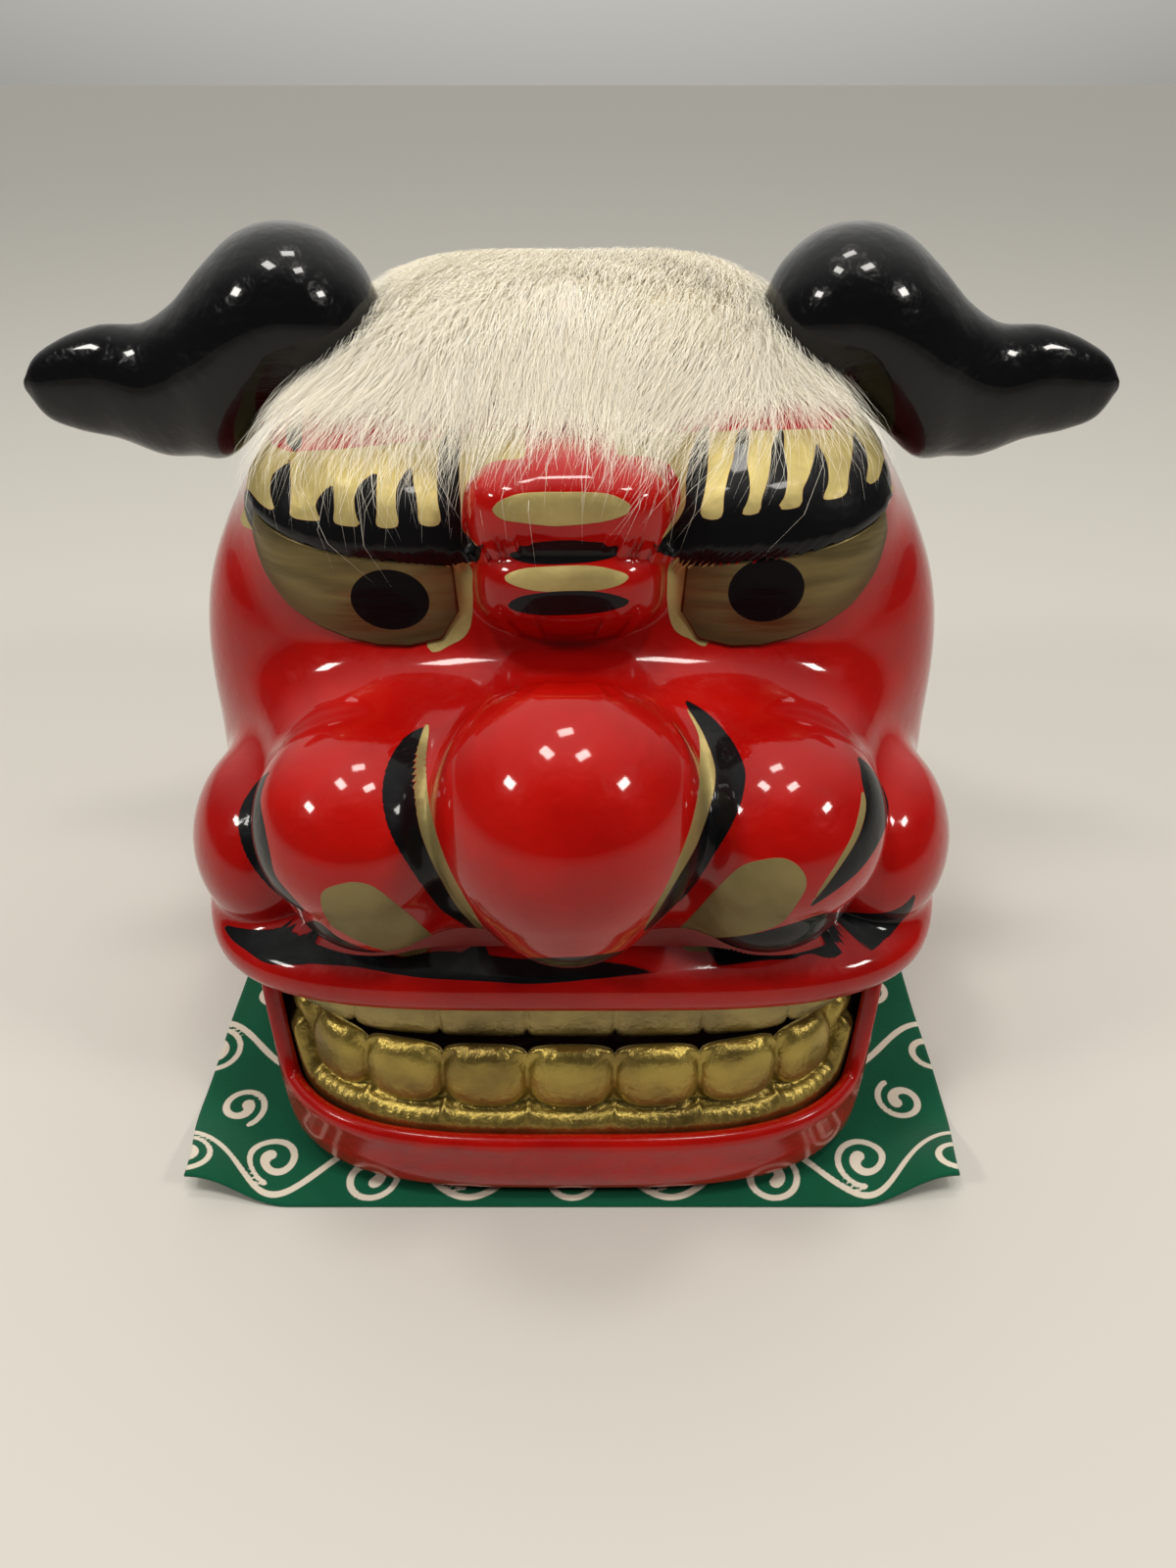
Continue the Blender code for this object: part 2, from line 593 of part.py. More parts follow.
def main():
    for obj in list(bpy.data.objects):
        bpy.data.objects.remove(obj)
    parts = bpy.data.collections.new("lion_dance_head")
    cutters = bpy.data.collections.new("cutters")
    bpy.context.scene.collection.children.link(parts)
    bpy.context.scene.collection.children.link(cutters)

    lacquer = ((0.55, 0.012, 0.006), 0.15, 0.0)
    black = ((0.006, 0.005, 0.006), 0.12, 0.0)
    gilt = ((0.33, 0.25, 0.10), 0.38, 0.85)

    upper_head = head_solid("upper_head", 0)
    hollow = head_solid("head_hollow", -SHELL_WALL, HOLLOW_DROP)
    clear_hollow = head_solid("clear_hollow", -SHELL_WALL - FACET_GAP, HOLLOW_DROP)
    grown_head = head_solid("grown_head", SKIN_GAP)
    behind = box_object("behind", (-HEAD_WIDTH, REAR_RIM, 0), (HEAD_WIDTH, 2 * REAR_RIM, 2 * HEAD_HEIGHT))
    eye_left = make_eye("eye_left")
    seat_left = make_eye_seat("eye_seat_left")
    eye_right = mirrored_copy(eye_left, "eye_right")
    seat_right = mirrored_copy(seat_left, "eye_seat_right")
    for cutter in (hollow, behind, seat_left, seat_right):
        boolean(upper_head, cutter)

    ear_left = make_ear("ear_left")
    room_left = make_ear("ear_room_left", ROOM_GAP)
    ear_right = mirrored_copy(ear_left, "ear_right")
    room_right = mirrored_copy(room_left, "ear_room_right")
    fur = make_fur()
    for ear, room in ((ear_left, room_left), (ear_right, room_right)):
        boolean(ear, grown_head)
        boolean(fur, room)
    boolean(fur, grown_head)

    lower_jaw, jaw_cutters = make_jaw()
    for cutter in jaw_cutters:
        boolean(lower_jaw, cutter)
    lower_teeth = make_lower_teeth()
    upper_teeth = make_upper_teeth()
    boolean(upper_teeth, clear_hollow, "INTERSECT")

    side = np.array([[1.0, 0.0, 0.0]])
    seat = skin_points(np.array([0, HINGE_Y, HINGE_Z]), side, -SHELL_WALL)[0, 0]
    rod = rod_object("hinge_rod", ROD_DIAMETER / 2, 2 * seat + SHELL_WALL, HINGE_Y, HINGE_Z)
    boolean(rod, clear_hollow, "INTERSECT")
    cloth = make_cloth()

    finishes = (
        (upper_head, lacquer),
        (lower_jaw, lacquer),
        (upper_teeth, gilt),
        (lower_teeth, gilt),
        (eye_left, gilt),
        (eye_right, gilt),
        (ear_left, black),
        (ear_right, black),
        (fur, ((0.85, 0.78, 0.62), 0.8, 0.0)),
        (rod, ((0.45, 0.28, 0.13), 0.6, 0.0)),
        (cloth, ((0.01, 0.16, 0.08), 0.8, 0.0)),
    )
    for obj, finish in finishes:
        parts.objects.link(obj)
        obj.data.materials.append(material(obj.name, *finish))
        obj.data.shade_smooth()
        obj.data.set_sharp_from_angle(angle=math.radians(40))
    shapers = (hollow, clear_hollow, grown_head, behind, seat_left, seat_right, room_left, room_right)
    for obj in (*shapers, *jaw_cutters):
        cutters.objects.link(obj)
        obj.hide_render = True
        obj.display_type = "WIRE"


main()
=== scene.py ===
"""Lion dance head in lacquered papier-mache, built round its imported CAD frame.

Metres, +Z up. The face looks along -Y and X = 0 is its plane of symmetry. The pieces follow the order in
which the head is put together: cloth, jaw, lower teeth, rod, upper head, upper teeth, eyes, ears and fur.
"""

import math

import bpy
import numpy as np
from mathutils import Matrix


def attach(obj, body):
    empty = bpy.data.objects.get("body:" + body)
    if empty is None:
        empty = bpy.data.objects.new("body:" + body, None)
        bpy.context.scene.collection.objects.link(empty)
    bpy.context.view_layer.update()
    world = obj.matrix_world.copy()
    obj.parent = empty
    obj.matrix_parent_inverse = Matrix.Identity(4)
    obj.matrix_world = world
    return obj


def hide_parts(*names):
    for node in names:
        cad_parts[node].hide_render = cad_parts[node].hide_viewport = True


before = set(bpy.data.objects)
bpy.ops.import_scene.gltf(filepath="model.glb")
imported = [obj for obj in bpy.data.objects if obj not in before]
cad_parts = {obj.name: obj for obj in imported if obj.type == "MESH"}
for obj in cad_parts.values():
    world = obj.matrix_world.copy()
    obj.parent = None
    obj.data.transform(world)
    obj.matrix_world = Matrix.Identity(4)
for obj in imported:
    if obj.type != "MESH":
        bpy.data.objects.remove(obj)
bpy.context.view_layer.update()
scene = bpy.context.scene


# Camera: a phone held before the head and above it, looking 35 degrees down. Its lens and place are those
# that put the ears, brows, nose and lip where the photo shows them.
CAMERA_PLACE = (0.006, -0.377, 0.371)
CAMERA_TILT = math.radians(90 - 35)
CAMERA_LENS = 26

eye_of_view = bpy.data.cameras.new("camera")
eye_of_view.lens = CAMERA_LENS
camera = bpy.data.objects.new("camera", eye_of_view)
camera.location = CAMERA_PLACE
camera.rotation_euler = (CAMERA_TILT, 0, 0)
scene.collection.objects.link(camera)
scene.camera = camera
scene.view_settings.view_transform = "Standard"


# Floor, room and lamps: a plain white table in a pale room with lamps on its ceiling, darker on the side
# where the viewer stands. They light the head and are no part of it.
FLOOR_REACH = 6.0
TABLE_WHITE = (0.60, 0.575, 0.53)
ROOM_COLOUR = (0.97, 0.96, 0.90)
ROOM_STRENGTH = (0.05, 1.0)
ROOM_EDGES = (0.2, 1.0)
AWAY_FROM_VIEWER = (0, 0.6, 0.8)
LAMP_SIZE = (0.32, 0.2)
LAMP_COLOUR = (1.0, 0.97, 0.91)
CEILING_LAMPS = (
    # place, watts
    ((-0.45, -0.35, 1.75), 6),
    ((0.35, -0.45, 1.85), 6),
    ((-0.05, 0.15, 1.9), 5),
    ((-1.35, -0.7, 1.3), 9),
    ((1.35, -0.75, 1.35), 9),
)
HEAD_CENTRE = (0, 0, 0.15)


class Value:
    """A socket that a shader works out. Python's signs between values add their Math nodes."""

    def __init__(self, finish, socket):
        self.finish = finish
        self.socket = socket

    def math(self, operation, *values):
        """What a Math node makes of the values."""
        return self.finish.node("Math", {"operation": operation}, dict(enumerate(values)))

    def __add__(self, other):
        return self.math("ADD", self, other)

    def __mul__(self, other):
        return self.math("MULTIPLY", self, other)

    def __sub__(self, other):
        return self.math("SUBTRACT", self, other)

    def __rsub__(self, other):
        return self.math("SUBTRACT", other, self)

    __radd__ = __add__
    __rmul__ = __mul__

    def rises(self, low, high):
        """0 below low, 1 above high, with a smooth step between."""
        settings = {"interpolation_type": "SMOOTHSTEP"}
        return self.finish.node("MapRange", settings, {"Value": self, "From Min": low, "From Max": high})


class Finish:
    """A material with one shader, and the nodes that work out what its sockets take."""

    def __init__(self, name):
        self.material = bpy.data.materials.new(name)
        self.material.use_nodes = True
        self.tree = self.material.node_tree
        self.shader = self.tree.nodes["Principled BSDF"]

    def node(self, kind, settings=None, inputs=None, output=0):
        """A shader node by its short kind: settings first, then a value or a link for each socket."""
        made = self.tree.nodes.new("ShaderNode" + kind)
        for name, value in (settings or {}).items():
            if name == "stops":
                ramp = made.color_ramp
                while len(ramp.elements) < len(value):
                    ramp.elements.new(1.0)
                for element, (place, colour) in zip(ramp.elements, value):
                    element.position = place
                    element.color = (*colour, 1.0)
            else:
                setattr(made, name, value)
        for name, value in (inputs or {}).items():
            self.feed(made.inputs[name], value)
        return Value(self, made.outputs[output])

    def feed(self, socket, value):
        """A socket's link or value. A colour of three numbers gets full opacity."""
        if isinstance(value, Value):
            self.tree.links.new(value.socket, socket)
        elif hasattr(socket.default_value, "__len__") and len(socket.default_value) == 4 and len(value) == 3:
            socket.default_value = (*value, 1.0)
        else:
            socket.default_value = value

    def set(self, **sockets):
        """Sockets of the shader, with _ for a space: set(Base_Color=...)."""
        for name, value in sockets.items():
            self.feed(self.shader.inputs[name.replace("_", " ")], value)
        return self.material

    def place(self, output="Object"):
        return self.node("TexCoord", output=output)

    def attribute(self, name):
        return self.node("Attribute", {"attribute_name": name}, output="Fac")

    def noise(self, scale, detail=2.0, vector=None, stretch=None, roughness=0.5):
        """Noise between 0 and 1, on object coordinates that may be stretched."""
        vector = vector or self.place()
        if stretch:
            vector = self.node("Mapping", {}, {"Vector": vector, "Scale": stretch})
        sockets = {"Vector": vector, "Scale": scale, "Detail": detail, "Roughness": roughness}
        return self.node("TexNoise", {}, sockets)

    def mix(self, share, first, second):
        """The first colour at share 0, the second at 1."""
        return self.node("Mix", {"data_type": "RGBA"}, {0: share, 6: first, 7: second}, output=2)

    def bump(self, height, distance, strength=1.0):
        """A normal bent as if the surface rose by the distance where the height is 1."""
        return self.node("Bump", {}, {"Strength": strength, "Distance": distance, "Height": height})


floor_mesh = bpy.data.meshes.new("floor")
corners = [(FLOOR_REACH * x, FLOOR_REACH * y, 0) for x, y in ((-1, -1), (1, -1), (1, 1), (-1, 1))]
floor_mesh.from_pydata(corners, [], [(0, 1, 2, 3)])
floor = bpy.data.objects.new("floor", floor_mesh)
scene.collection.objects.link(floor)
table_white = Finish("table_white")
floor_mesh.materials.append(table_white.set(Base_Color=TABLE_WHITE, Roughness=0.6))

room = bpy.data.worlds.new("room")
room.use_nodes = True
scene.world = room
board = room.node_tree
sky = board.nodes["Background"]
way = board.nodes.new("ShaderNodeTexCoord")
toward_wall = board.nodes.new("ShaderNodeVectorMath")
toward_wall.operation = "DOT_PRODUCT"
toward_wall.inputs[1].default_value = AWAY_FROM_VIEWER
spread = board.nodes.new("ShaderNodeMapRange")
spread.interpolation_type = "SMOOTHSTEP"
spread.inputs["From Min"].default_value, spread.inputs["From Max"].default_value = ROOM_EDGES
spread.inputs["To Min"].default_value, spread.inputs["To Max"].default_value = ROOM_STRENGTH
board.links.new(way.outputs["Generated"], toward_wall.inputs[0])
board.links.new(toward_wall.outputs["Value"], spread.inputs["Value"])
board.links.new(spread.outputs[0], sky.inputs["Strength"])
sky.inputs["Color"].default_value = (*ROOM_COLOUR, 1)


def ceiling_lamp(name, place, watts):
    """A flat soft lamp at a place, turned towards the middle of the head."""
    made = bpy.data.lights.new(name, "AREA")
    made.shape = "RECTANGLE"
    made.size, made.size_y = LAMP_SIZE
    made.energy = watts
    made.color = LAMP_COLOUR
    holder = bpy.data.objects.new(name, made)
    holder.location = place
    toward = np.subtract(HEAD_CENTRE, place)
    holder.rotation_euler = (
        math.atan2(np.hypot(toward[0], toward[1]), -toward[2]),
        0,
        math.atan2(-toward[0], toward[1]),
    )
    scene.collection.objects.link(holder)


for number, (place, watts) in enumerate(CEILING_LAMPS, start=1):
    ceiling_lamp(f"ceiling_{number}", place, watts)


# Cape cloth: the end of the head's cape, green cotton with a cream arabesque printed on it. It is laid flat
# under the jaw, which stands on it, and its two front corners turn up.
MM = 0.001
CLOTH_WIDTH = 300 * MM
CLOTH_LENGTH = 257 * MM
CLOTH_THICKNESS = 1 * MM
CLOTH_FRONT = -122 * MM
CORNER_LIFT = 10 * MM
CORNER_LENGTH = 45 * MM
WAVE_HEIGHT = 0.5 * MM
VINE_TILE = (76 * MM, 62 * MM)
VINE_SHIFT = (20 * MM, 13 * MM)
VINE_HALF_WIDTH = 1.6 * MM
SWIRL_RADIUS = 12 * MM
CLOTH_COLUMNS = 201
CLOTH_ROWS = 172
SPECULAR_OF_COTTON = 0.12


def smooth_step(low, high, value):
    """0 up to low, 1 from high on, and 3 t^2 - 2 t^3 between. It falls where high is the smaller."""
    share = np.clip((value - low) / (high - low), 0, 1)
    return share * share * (3 - 2 * share)


def piece(name, vertices, faces, finishes, **attributes):
    """A smooth shaded mesh object from whole arrays of points and faces, with a number per point for each
    attribute."""
    mesh = bpy.data.meshes.new(name)
    mesh.from_pydata(np.asarray(vertices).reshape(-1, 3).tolist(), [], faces)
    mesh.validate()
    for key, values in attributes.items():
        layer = mesh.attributes.new(key, "FLOAT", "POINT")
        layer.data.foreach_set("value", np.asarray(values, np.float32).ravel())
    for finish in finishes:
        mesh.materials.append(finish)
    mesh.shade_smooth()
    made = bpy.data.objects.new(name, mesh)
    scene.collection.objects.link(made)
    return made


def strip_faces(rows, columns, closed=True, start=0):
    """Quads between neighbouring rows of a grid that is numbered row by row from start."""
    row, column = np.mgrid[0 : rows - 1, 0 : columns if closed else columns - 1]
    beside = (column + 1) % columns
    here, there = row * columns, (row + 1) * columns
    faces = np.stack([here + column, here + beside, there + beside, there + column], axis=-1)
    return (faces.reshape(-1, 4) + start).tolist()


def shell_between(outer, inner):
    """Points and faces of a closed sheet between two grids of the same rows and columns."""
    rows, columns, _ = outer.shape
    count = rows * columns
    faces = np.array(strip_faces(rows, columns, closed=False))
    border = [*range(columns), *range(2 * columns - 1, count, columns)]
    border += [*range(count - 2, count - columns - 1, -1), *range(count - 2 * columns, 0, -columns)]
    here = np.array(border)
    there = np.roll(here, -1)
    edge = np.stack([there, here, here + count, there + count], axis=1)
    vertices = np.concatenate([outer.reshape(-1, 3), inner.reshape(-1, 3)])
    return vertices, faces.tolist() + (faces[:, ::-1] + count).tolist() + edge.tolist()


def swirl(x, y, radius, start, turns, side):
    """A spiral inwards: its radius falls evenly from full to a quarter while it turns."""
    share = np.linspace(0, 1, 90)
    angle = start + side * share * turns * 2 * math.pi
    reach = radius * (1 - 0.74 * share)
    width = VINE_HALF_WIDTH * (0.75 + 0.75 * share**3)
    return np.stack([x + reach * np.cos(angle), y + reach * np.sin(angle), width], axis=1)


def vine_tile():
    """One repeat of the arabesque: a wavy stem, and swirls that leave it by turns above and below."""
    width, height = VINE_TILE
    x = np.linspace(0, width, 110)
    stem = np.stack([x, 0.5 * height + 0.2 * height * np.sin(2 * math.pi * x / width)], axis=1)
    stem = np.column_stack([stem, np.full(len(x), 0.85 * VINE_HALF_WIDTH)])
    r = SWIRL_RADIUS
    curls = [
        swirl(0.25 * width, 0.5 * height - 0.06 * height, r, math.radians(80), 1.35, -1),
        swirl(0.75 * width, 0.5 * height + 0.06 * height, r, math.radians(-100), 1.35, -1),
        swirl(0.50 * width, 0.97 * height, 0.85 * r, math.radians(-60), 1.25, 1),
        swirl(0.02 * width, 0.03 * height, 0.85 * r, math.radians(120), 1.25, 1),
    ]
    return np.concatenate([stem, *curls])


def vine_cover(x, y):
    """How far inside a line of the arabesque each point lies, in millimetres, and negative outside."""
    width, height = VINE_TILE
    tile = vine_tile()
    x, y = np.mod(x, width), np.mod(y, height)
    best = np.full(x.shape, -1.0)
    for shift_x in (-width, 0, width):
        for shift_y in (-height, 0, height):
            near = tile + [shift_x, shift_y, 0]
            inside = (np.abs(near[:, 0] - 0.5 * width) < 0.8 * width) & (
                np.abs(near[:, 1] - 0.5 * height) < 0.8 * height
            )
            near = near[inside]
            if len(near):
                away = np.hypot(x[:, None] - near[:, 0], y[:, None] - near[:, 1])
                best = np.maximum(best, (near[:, 2] - away).max(axis=1))
    return best / MM


x = np.linspace(-CLOTH_WIDTH / 2, CLOTH_WIDTH / 2, CLOTH_COLUMNS)
y = np.linspace(CLOTH_FRONT, CLOTH_FRONT + CLOTH_LENGTH, CLOTH_ROWS)
grid_x, grid_y = np.meshgrid(x, y)
to_corner = np.hypot(CLOTH_WIDTH / 2 - np.abs(grid_x), grid_y - CLOTH_FRONT)
lift = CORNER_LIFT * (1 - smooth_step(0, CORNER_LENGTH, to_corner))
outside = smooth_step(0.36 * CLOTH_WIDTH, 0.5 * CLOTH_WIDTH, np.abs(grid_x))
wave = WAVE_HEIGHT * outside * (1 + np.sin(grid_y / (9 * MM) + 2 * np.sin(grid_x / (60 * MM))))
low = np.stack([grid_x - 0.6 * np.sign(grid_x) * lift, grid_y + 0.6 * lift, lift + wave], axis=2)
high = low + [0, 0, CLOTH_THICKNESS]
vines = vine_cover(grid_x.ravel() + VINE_SHIFT[0], grid_y.ravel() + VINE_SHIFT[1])

cotton = Finish("cape_cotton")
cotton.shader.inputs["Specular IOR Level"].default_value = SPECULAR_OF_COTTON
thread = cotton.noise(900, 1.0, stretch=(1.0, 0.25, 1.0)) + cotton.noise(900, 1.0, stretch=(0.25, 1.0, 1.0))
line = cotton.attribute("vine").rises(-0.25, 0.2)
faded = cotton.noise(35, 3.0)
green = cotton.mix(faded, (0.001, 0.065, 0.028), (0.003, 0.105, 0.05))
cream = cotton.mix(faded, (0.62, 0.55, 0.44), (0.78, 0.72, 0.60))
cotton.set(
    Base_Color=cotton.mix(line, green, cream),
    Roughness=0.85,
    Normal=cotton.bump(thread, 0.0002, 0.5),
    Sheen_Weight=0.15,
)
vertices, faces = shell_between(high, low)
cape_sheet = piece("cape_sheet", vertices, faces, [cotton.material], vine=np.tile(vines, 2))
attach(cape_sheet, "jaw")
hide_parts("cape_cloth")


# Jaw: the lower half of the mouth, a tray of paper laid up in a mould and lacquered red outside. Its inside
# is painted near black as painted shade for the shadow in the mouth. Its lip is rounded, it is open behind
# for the hand, and its two cheeks rise to the rod.
JAW_WIDTH = 240 * MM
JAW_FRONT = -121 * MM
JAW_BEND = 101 * MM
JAW_BACK = 104 * MM
JAW_WALL = 6 * MM
JAW_FLOOR = 5 * MM
LIP_HEIGHT = 35 * MM
CHEEK_TOP = 76 * MM
CORNER_FROM = -92 * MM
CORNER_TO = -74 * MM
HINGE_Y = 92 * MM
HINGE_Z = 97 * MM
HINGE_CHEEK = 13 * MM
GAP = 0.3 * MM
FRONT_POWER = 3.4
JAW_STATIONS = 361
JAW_PROFILE = (
    # height as a share of the wall's, and how far the outside is drawn in, as a share of its thickness
    (0.0, 1.6),
    (0.04, 1.05),
    (0.10, 0.7),
    (0.2, 0.3),
    (0.30, 0.1),
    (0.55, 0.0),
    (0.80, 0.15),
)


def front_path(half_width, front, bend, back, count):
    """A U in plan, open behind: straight sides and a squared-off elliptic front. It gives evenly spaced
    points from the left rear round to the right rear, the outward directions, and the place along it."""
    turn = np.linspace(-math.pi / 2, math.pi / 2, 1201)
    power = 2 / FRONT_POWER
    x = half_width * np.sign(turn) * np.abs(np.sin(turn)) ** power
    y = front + bend - bend * np.cos(turn).clip(0) ** power
    if back > front + bend:
        x = np.concatenate([[-half_width], x, [half_width]])
        y = np.concatenate([[back], y, [back]])
    length = np.concatenate([[0], np.cumsum(np.hypot(np.diff(x), np.diff(y)))])
    even = np.linspace(0, length[-1], count)
    points = np.stack([np.interp(even, length, x), np.interp(even, length, y)], axis=1)
    return points, outward_of(points), even - length[-1] / 2


def outward_of(points):
    """Unit directions square to a path in plan, to its outer side."""
    along = np.gradient(points, axis=0)
    outward = np.stack([along[:, 1], -along[:, 0]], axis=1)
    return outward / np.linalg.norm(outward, axis=1)[:, None]


def jaw_top(y):
    """Height of the jaw's wall: the lip in front, the mouth's corners, and the hinge cheeks behind."""
    corner = smooth_step(CORNER_FROM, CORNER_TO, y)
    hinge = smooth_step(HINGE_Y - 3 * HINGE_CHEEK, HINGE_Y - HINGE_CHEEK, y)
    return LIP_HEIGHT + corner * (CHEEK_TOP - LIP_HEIGHT) + hinge * (HINGE_Z + HINGE_CHEEK - CHEEK_TOP)


def lacquer_lumps(made):
    """Uneven paper under brushed lacquer: broad dents, brush marks and fine grain."""
    return made.noise(42, 2.0) + 0.4 * made.noise(120, 2.0) + 0.05 * made.noise(420, 1.0)


def lacquer_red(made):
    """Deep red, lighter where the coat is thin."""
    return made.mix(made.noise(22, 3.0).rises(0.3, 0.75), (0.33, 0.0013, 0.0006), (0.46, 0.004, 0.0015))


def clear_coat(made, blur=0.07):
    """The gloss of the last coat, over a colour that has nearly none of its own."""
    made.shader.inputs["Specular IOR Level"].default_value = 0.06
    made.shader.inputs["Coat IOR"].default_value = 1.37
    made.shader.inputs["Coat Roughness"].default_value = blur


def red_lacquer(name, relief=1.6 * MM, blur=0.07):
    """Red lacquer, brushed on in marks of the given relief, and painted shade on points marked as inner:
    near black, for the shadow inside the mouth.
    """
    made = Finish(name)
    clear_coat(made, blur)
    # inner paints the inside near black, with little coat: painted shade for the shadow inside the mouth.
    inner = made.attribute("inner").rises(0.3, 0.9)
    made.set(
        Base_Color=made.mix(inner, lacquer_red(made), (0.012, 0.004, 0.003)),
        Roughness=0.4,
        Coat_Weight=1 - 0.8 * inner,
        Normal=made.bump(lacquer_lumps(made), relief),
    )
    return made


def closed_rows(rows, bottom, top):
    """Points and faces of a closed solid from rings of points, with a middle point at each end."""
    count, columns, _ = rows.shape
    vertices = np.concatenate([rows.reshape(-1, 3), [bottom, top]])
    faces = strip_faces(count, columns)
    ring = np.arange(columns)
    beside = (ring + 1) % columns
    low = np.stack([beside, ring, np.full(columns, count * columns)], axis=1)
    high = np.stack([ring, beside, np.full(columns, count * columns + 1)], axis=1)
    high[:, :2] += (count - 1) * columns
    return vertices, faces + low.tolist() + high.tolist()


def path_loft(points, outward, loop):
    """Points and faces of a bar along a path: each pair in the loop is the offset outwards and the height of
    one corner of its cross-section, and a fan closes each end."""
    shape = len(loop), len(points)
    offsets = np.stack([np.broadcast_to(offset, shape[1:]) for offset, _ in loop])
    heights = np.stack([np.broadcast_to(height, shape[1:]) for _, height in loop])
    plan = points[None] + offsets[:, :, None] * outward[None]
    rings = np.concatenate([plan, heights[:, :, None]], axis=2).transpose(1, 0, 2)
    return closed_rows(rings, rings[0].mean(axis=0), rings[-1].mean(axis=0))


points, outward, _ = front_path(JAW_WIDTH / 2, JAW_FRONT, JAW_BEND, JAW_BACK, JAW_STATIONS)
foot = CLOTH_THICKNESS + GAP
inner_floor = foot + JAW_FLOOR
top = jaw_top(points[:, 1])
loop = [(-inset * JAW_WALL, foot + height * (top - foot)) for height, inset in JAW_PROFILE]
for angle in np.radians([15, 30, 45, 60, 75, 90, 105, 125, 150, 175]):
    outside_turn = 0.9 if angle < math.pi / 2 else 0.5
    drawn_in = 0.55 * JAW_WALL * (1 - math.cos(angle))
    loop.append((-drawn_in, top - outside_turn * JAW_WALL * (1 - math.sin(angle))))
inside_from = len(loop)
for share in (0.9, 0.6, 0.3, 0.05):
    loop.append((-JAW_WALL, inner_floor + share * (top - inner_floor - JAW_WALL)))
loop += [(-1.4 * JAW_WALL, inner_floor), (-1.6 * JAW_WALL, foot)]
wall_vertices, wall_faces = path_loft(points, outward, loop)
edge = points - 1.5 * JAW_WALL * outward
levels = [np.column_stack([edge, np.full(len(edge), height)]) for height in (foot, inner_floor)]
floor_vertices, floor_faces = closed_rows(np.array(levels), (0, 0, foot), (0, 0, inner_floor))
vertices = np.concatenate([wall_vertices, floor_vertices])
faces = wall_faces + [[corner + len(wall_vertices) for corner in face] for face in floor_faces]
# The tray's inside walls and floor are marked inner, to be painted near black as painted shade for the
# mouth's shadow.
inner = np.ones(len(vertices))
inner[: len(points) * len(loop)] = np.tile(np.arange(len(loop)) >= inside_from, len(points))
jaw_lacquer = red_lacquer("jaw_lacquer", 3.5 * MM, 0.14)
jaw_shell = piece("jaw_shell", vertices, faces, [jaw_lacquer.material], inner=inner)
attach(jaw_shell, "jaw")
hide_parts("lower_jaw")


# Lower teeth: a row of rounded blocks over a scalloped gum, built up in paper pulp behind the jaw's lip.
# Bronze paint is brushed over them, and it is dull where it has worn.
TOOTH_PITCH = 31 * MM
TOOTH_TOP = 68 * MM
TOOTH_DEPTH = 12 * MM
GUM_HEIGHT = 6 * MM
LOWER_TEETH = 11
SIDE_SAMPLES = 30


def gold_paint(name, bright=(0.43, 0.32, 0.08), dull=(0.22, 0.155, 0.045)):
    """Bronze paint brushed on: satin, with streaks and darker worn places."""
    made = Finish(name)
    streak = made.noise(160, 3.0, stretch=(1.0, 1.0, 0.35))
    worn = made.noise(45, 4.0).rises(0.35, 0.75)
    grain = made.noise(1500, 1.0)
    made.set(
        Base_Color=made.mix(worn, bright, dull),
        Metallic=0.92,
        Roughness=0.3 + 0.16 * streak,
        Normal=made.bump(streak + 0.5 * made.noise(260, 3.0) + 0.12 * grain, 0.0009),
    )
    return made


def tooth_row(half_width, front, bend, back, inset, teeth):
    """Places along a row of teeth inside a front path, the points and outward directions there, and a phase
    that is 0 in the middle of a tooth and 1 between two."""
    plan, _, along = front_path(half_width - inset, front + inset, bend - inset, back, 2401)
    half = min(teeth * TOOTH_PITCH / 2, along[-1])
    places = np.linspace(-half, half, teeth * SIDE_SAMPLES + 1)
    points = np.stack([np.interp(places, along, plan[:, i]) for i in (0, 1)], axis=1)
    return places, points, outward_of(points), np.abs(np.mod(places / TOOTH_PITCH + 0.5, 1) - 0.5) * 2


inset = JAW_WALL + 2 * GAP
places, points, outward, phase = tooth_row(
    JAW_WIDTH / 2, JAW_FRONT, JAW_BEND, JAW_FRONT + JAW_BEND, inset, LOWER_TEETH
)
bulge = (1 - phase**3.2) ** 0.45
ripple = 0.25 * MM * np.sin(places / (0.7 * MM) + 2 * np.sin(places / (5 * MM)))
gum = jaw_top(points[:, 1]).clip(None, TOOTH_TOP - 2.5 * GUM_HEIGHT) + GUM_HEIGHT * (1.2 - bulge * 0.5)
foot = CLOTH_THICKNESS + 2 * GAP + JAW_FLOOR
crown = gum + (TOOTH_TOP - gum) * (0.82 + 0.18 * bulge)
lip = jaw_top(points[:, 1]).clip(None, TOOTH_TOP - 2.5 * GUM_HEIGHT)
loop = [(-0.3 * TOOTH_DEPTH, foot), (0, foot + 0.1 * (gum - foot)), (0, lip - 0.2 * GUM_HEIGHT)]
for slope in np.linspace(0.08, 1, 7):
    gum_rise = math.sin(0.5 * math.pi * slope) ** 0.8
    loop.append((-0.42 * TOOTH_DEPTH * slope - ripple, lip + (gum - lip) * gum_rise))
for rise in np.linspace(-0.97, 0.97, 17):
    pillow = (1 - phase**2.8 - abs(rise) ** (3.6 if rise < 0 else 2.5)).clip(0) ** 0.5
    loop.append((-TOOTH_DEPTH * (0.72 - 0.46 * pillow), gum + (0.5 + 0.5 * rise) * (crown - gum)))
loop += [(-0.78 * TOOTH_DEPTH, crown), (-0.9 * TOOTH_DEPTH, crown)]
loop += [(-TOOTH_DEPTH, crown - 0.1 * (crown - gum)), (-TOOTH_DEPTH, foot)]
vertices, faces = path_loft(points, outward, loop)
lower_gold = gold_paint("lower_teeth_gold")
teeth_row = piece("lower_teeth_row", vertices, faces, [lower_gold.material])
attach(teeth_row, "jaw")
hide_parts("lower_teeth")


